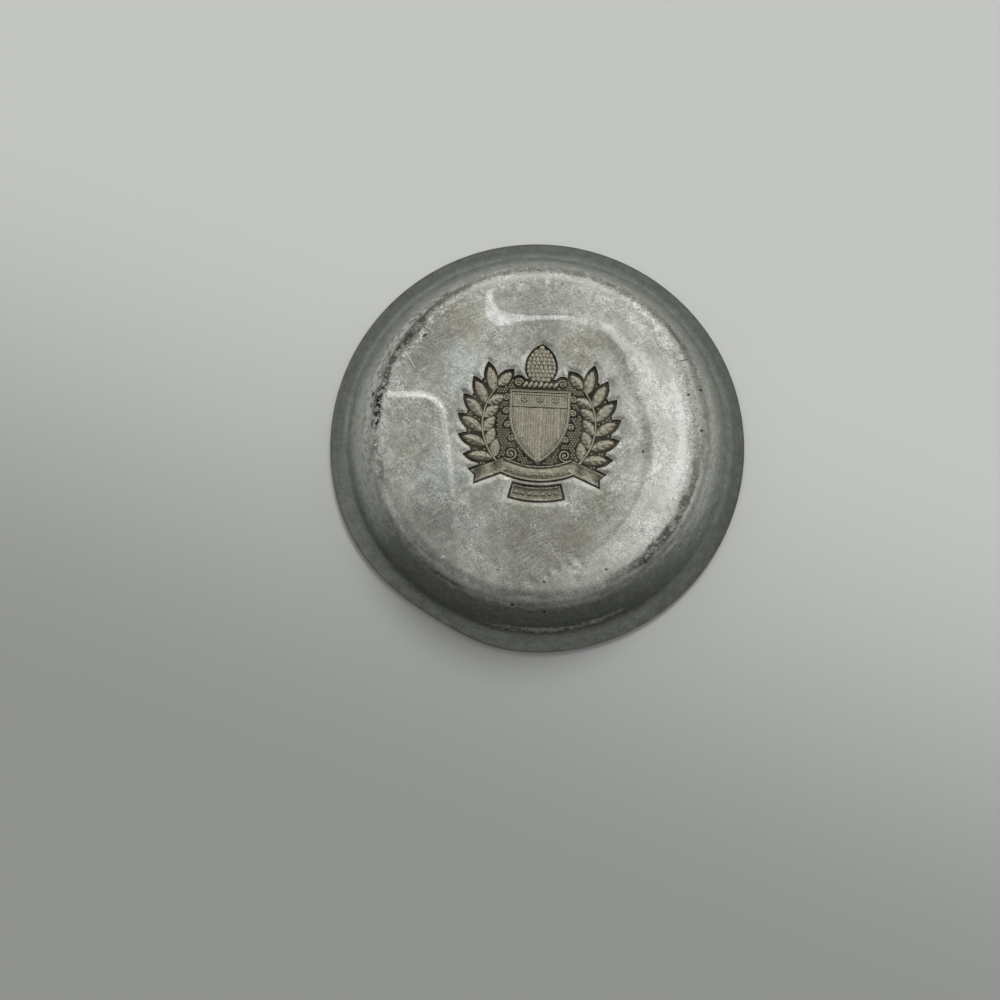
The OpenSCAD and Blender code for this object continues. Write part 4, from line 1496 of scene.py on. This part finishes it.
left_leaves = spray_mesh()
right_leaves = left_leaves.copy()
bmesh.ops.scale(right_leaves, vec=(-1, 1, 1), verts=right_leaves.verts)
bmesh.ops.recalc_face_normals(right_leaves, faces=right_leaves.faces)
badge_pieces = [
    ("shield_relief", shield_mesh(), ["shield"]),
    ("crest_relief", crest_mesh(), ["crest"]),
    ("ribbon_relief", ribbon_mesh(), ["ribbon"]),
    ("left_leaves", left_leaves, ["left_spray"]),
    ("right_leaves", right_leaves, ["right_spray"]),
]
matting = matted_ground_mesh([bm for _, bm, _ in badge_pieces])
badge_pieces.append(("scroll_relief", lower_scroll_mesh(), ["lower_scroll"]))
badge_pieces.append(("matted_ground", matting, []))
for name, bm, nodes in badge_pieces:
    put_on_badge(bm)
    add_piece(name, bm, BADGE_FINISH, nodes)

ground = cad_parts["badge_ground"]
ground.data.materials.clear()
ground.data.materials.append(BADGE_FINISH)

# Floor, light and camera

# Half width of the floor, its drop below the rim, and the way and stretch in which it grows paler: painted
# shade that darkens the floor towards the viewer
FLOOR_HALF = 2000.0
FLOOR_DROP = 0.02
FLOOR_PALER_WAY = (0.33, 0.94, 0.0)
FLOOR_SHADED_AT = -105
FLOOR_LIT_AT = 40

# Glow on the far side, dim patch overhead and lamp to the right: direction, reach and core in degrees, change
SKY_PATCHES = (
    ((0.1, 0.74, 0.67), 34, 10, 0.6),
    ((0.0, 0.2, 1.0), 40, 16, -0.65),
    ((0.36, -0.06, 0.93), 24, 8, 0.6),
)

# Level of the plain backdrop that views from the side see over the floor's edge
BACKDROP = 0.5

WINDOW_WAY = Vector((0.2, 0.75, 0.65))
WINDOW_STRENGTH = 2.2
WINDOW_SPREAD = math.radians(20)

# Camera fitted to the photograph's view of the rim, the crease and the foot
CAMERA_AT = Vector((-8.09, -37.53, 198.2))
CAMERA_TILT = (math.radians(6.386), math.radians(0.492), 0.0)
CAMERA_LENS = 27.04
SENSOR_W = 36.0
NEAREST_SEEN = 5

floor_mesh = bpy.data.meshes.new("floor")
floor_bm = bmesh.new()
bmesh.ops.create_grid(floor_bm, x_segments=1, y_segments=1, size=FLOOR_HALF * MM)
bmesh.ops.translate(floor_bm, vec=(0, 0, -FLOOR_DROP * MM), verts=floor_bm.verts)
floor_bm.to_mesh(floor_mesh)
floor_bm.free()
floor = add_object("floor", floor_mesh)
floor_material, floor_tree = new_material("floor_matt_white_paint")
floor_place = add_node(floor_tree, "ShaderNodeTexCoord", out="Object")
floor_run = add_node(
    floor_tree, "ShaderNodeVectorMath", {0: floor_place, 1: FLOOR_PALER_WAY}, out="Value",
    operation="DOT_PRODUCT",
)
floor_lit_share = add_node(
    floor_tree, "ShaderNodeMapRange",
    {"Value": floor_run, "From Min": FLOOR_SHADED_AT * MM, "From Max": FLOOR_LIT_AT * MM},
    interpolation_type="SMOOTHSTEP",
)
# Painted shade: the floor is darker towards the viewer
floor_tone = add_node(
    floor_tree, "ShaderNodeMixRGB",
    {"Fac": floor_lit_share, "Color1": linear("#848683"), "Color2": linear("#b4b6b3")},
)
floor_shader = add_node(
    floor_tree, "ShaderNodeBsdfPrincipled", {"Base Color": floor_tone, "Roughness": 0.8}
)
add_node(floor_tree, "ShaderNodeOutputMaterial", {"Surface": floor_shader})
floor_mesh.materials.append(floor_material)

scene = bpy.context.scene
scene.view_settings.view_transform = "Standard"

# A plain dome, dim low down and on the viewer's side, with a few soft patches
world = bpy.data.worlds.new("studio")
scene.world = world
world.use_nodes = True
sky = world.node_tree
sky.nodes.clear()
sky_way = add_node(sky, "ShaderNodeTexCoord", out="Generated")
sky_axes = add_node(sky, "ShaderNodeSeparateXYZ", {0: sky_way}).node.outputs
radiance = add_node(
    sky, "ShaderNodeMapRange",
    {"Value": sky_axes["Z"], "From Min": 0.0, "From Max": 0.75, "To Min": 0.3, "To Max": 1.55},
    interpolation_type="SMOOTHSTEP",
)
viewer_side = add_node(
    sky, "ShaderNodeMapRange",
    {"Value": sky_axes["Y"], "From Min": -0.5, "From Max": 0.2, "To Min": 0.25, "To Max": 1.0},
    interpolation_type="SMOOTHSTEP",
)
radiance = add_node(sky, "ShaderNodeMath", {0: radiance, 1: viewer_side}, operation="MULTIPLY")
for way, reach, core, change in SKY_PATCHES:
    facing = add_node(
        sky, "ShaderNodeVectorMath", {0: sky_way, 1: Vector(way).normalized()}, out="Value",
        operation="DOT_PRODUCT",
    )
    share = add_node(
        sky, "ShaderNodeMapRange",
        {"Value": facing, "From Min": math.cos(math.radians(reach)),
         "From Max": math.cos(math.radians(core)), "To Max": change},
        interpolation_type="SMOOTHSTEP",
    )
    radiance = add_node(sky, "ShaderNodeMath", {0: radiance, 1: share}, operation="ADD")
seen = add_node(sky, "ShaderNodeLightPath", out="Is Camera Ray")
radiance = add_node(sky, "ShaderNodeMix", {"Factor": seen, "A": radiance, "B": BACKDROP})
background = add_node(sky, "ShaderNodeBackground", {"Strength": radiance})
add_node(sky, "ShaderNodeOutputWorld", {"Surface": background})

# A soft window on the far side, which lights the floor and gives the metal no glare: the dish throws its
# shadow towards the viewer
window_data = bpy.data.lights.new("window", "SUN")
window_data.energy = WINDOW_STRENGTH
window_data.angle = WINDOW_SPREAD
window = add_object("window", window_data)
window.rotation_euler = WINDOW_WAY.to_track_quat("Z", "Y").to_euler()
window.visible_glossy = False

camera_data = bpy.data.cameras.new("camera")
camera_data.lens = CAMERA_LENS
camera_data.sensor_width = SENSOR_W
camera_data.clip_start = NEAREST_SEEN * MM
camera = add_object("camera", camera_data)
camera.location = CAMERA_AT * MM
camera.rotation_euler = CAMERA_TILT
scene.camera = camera
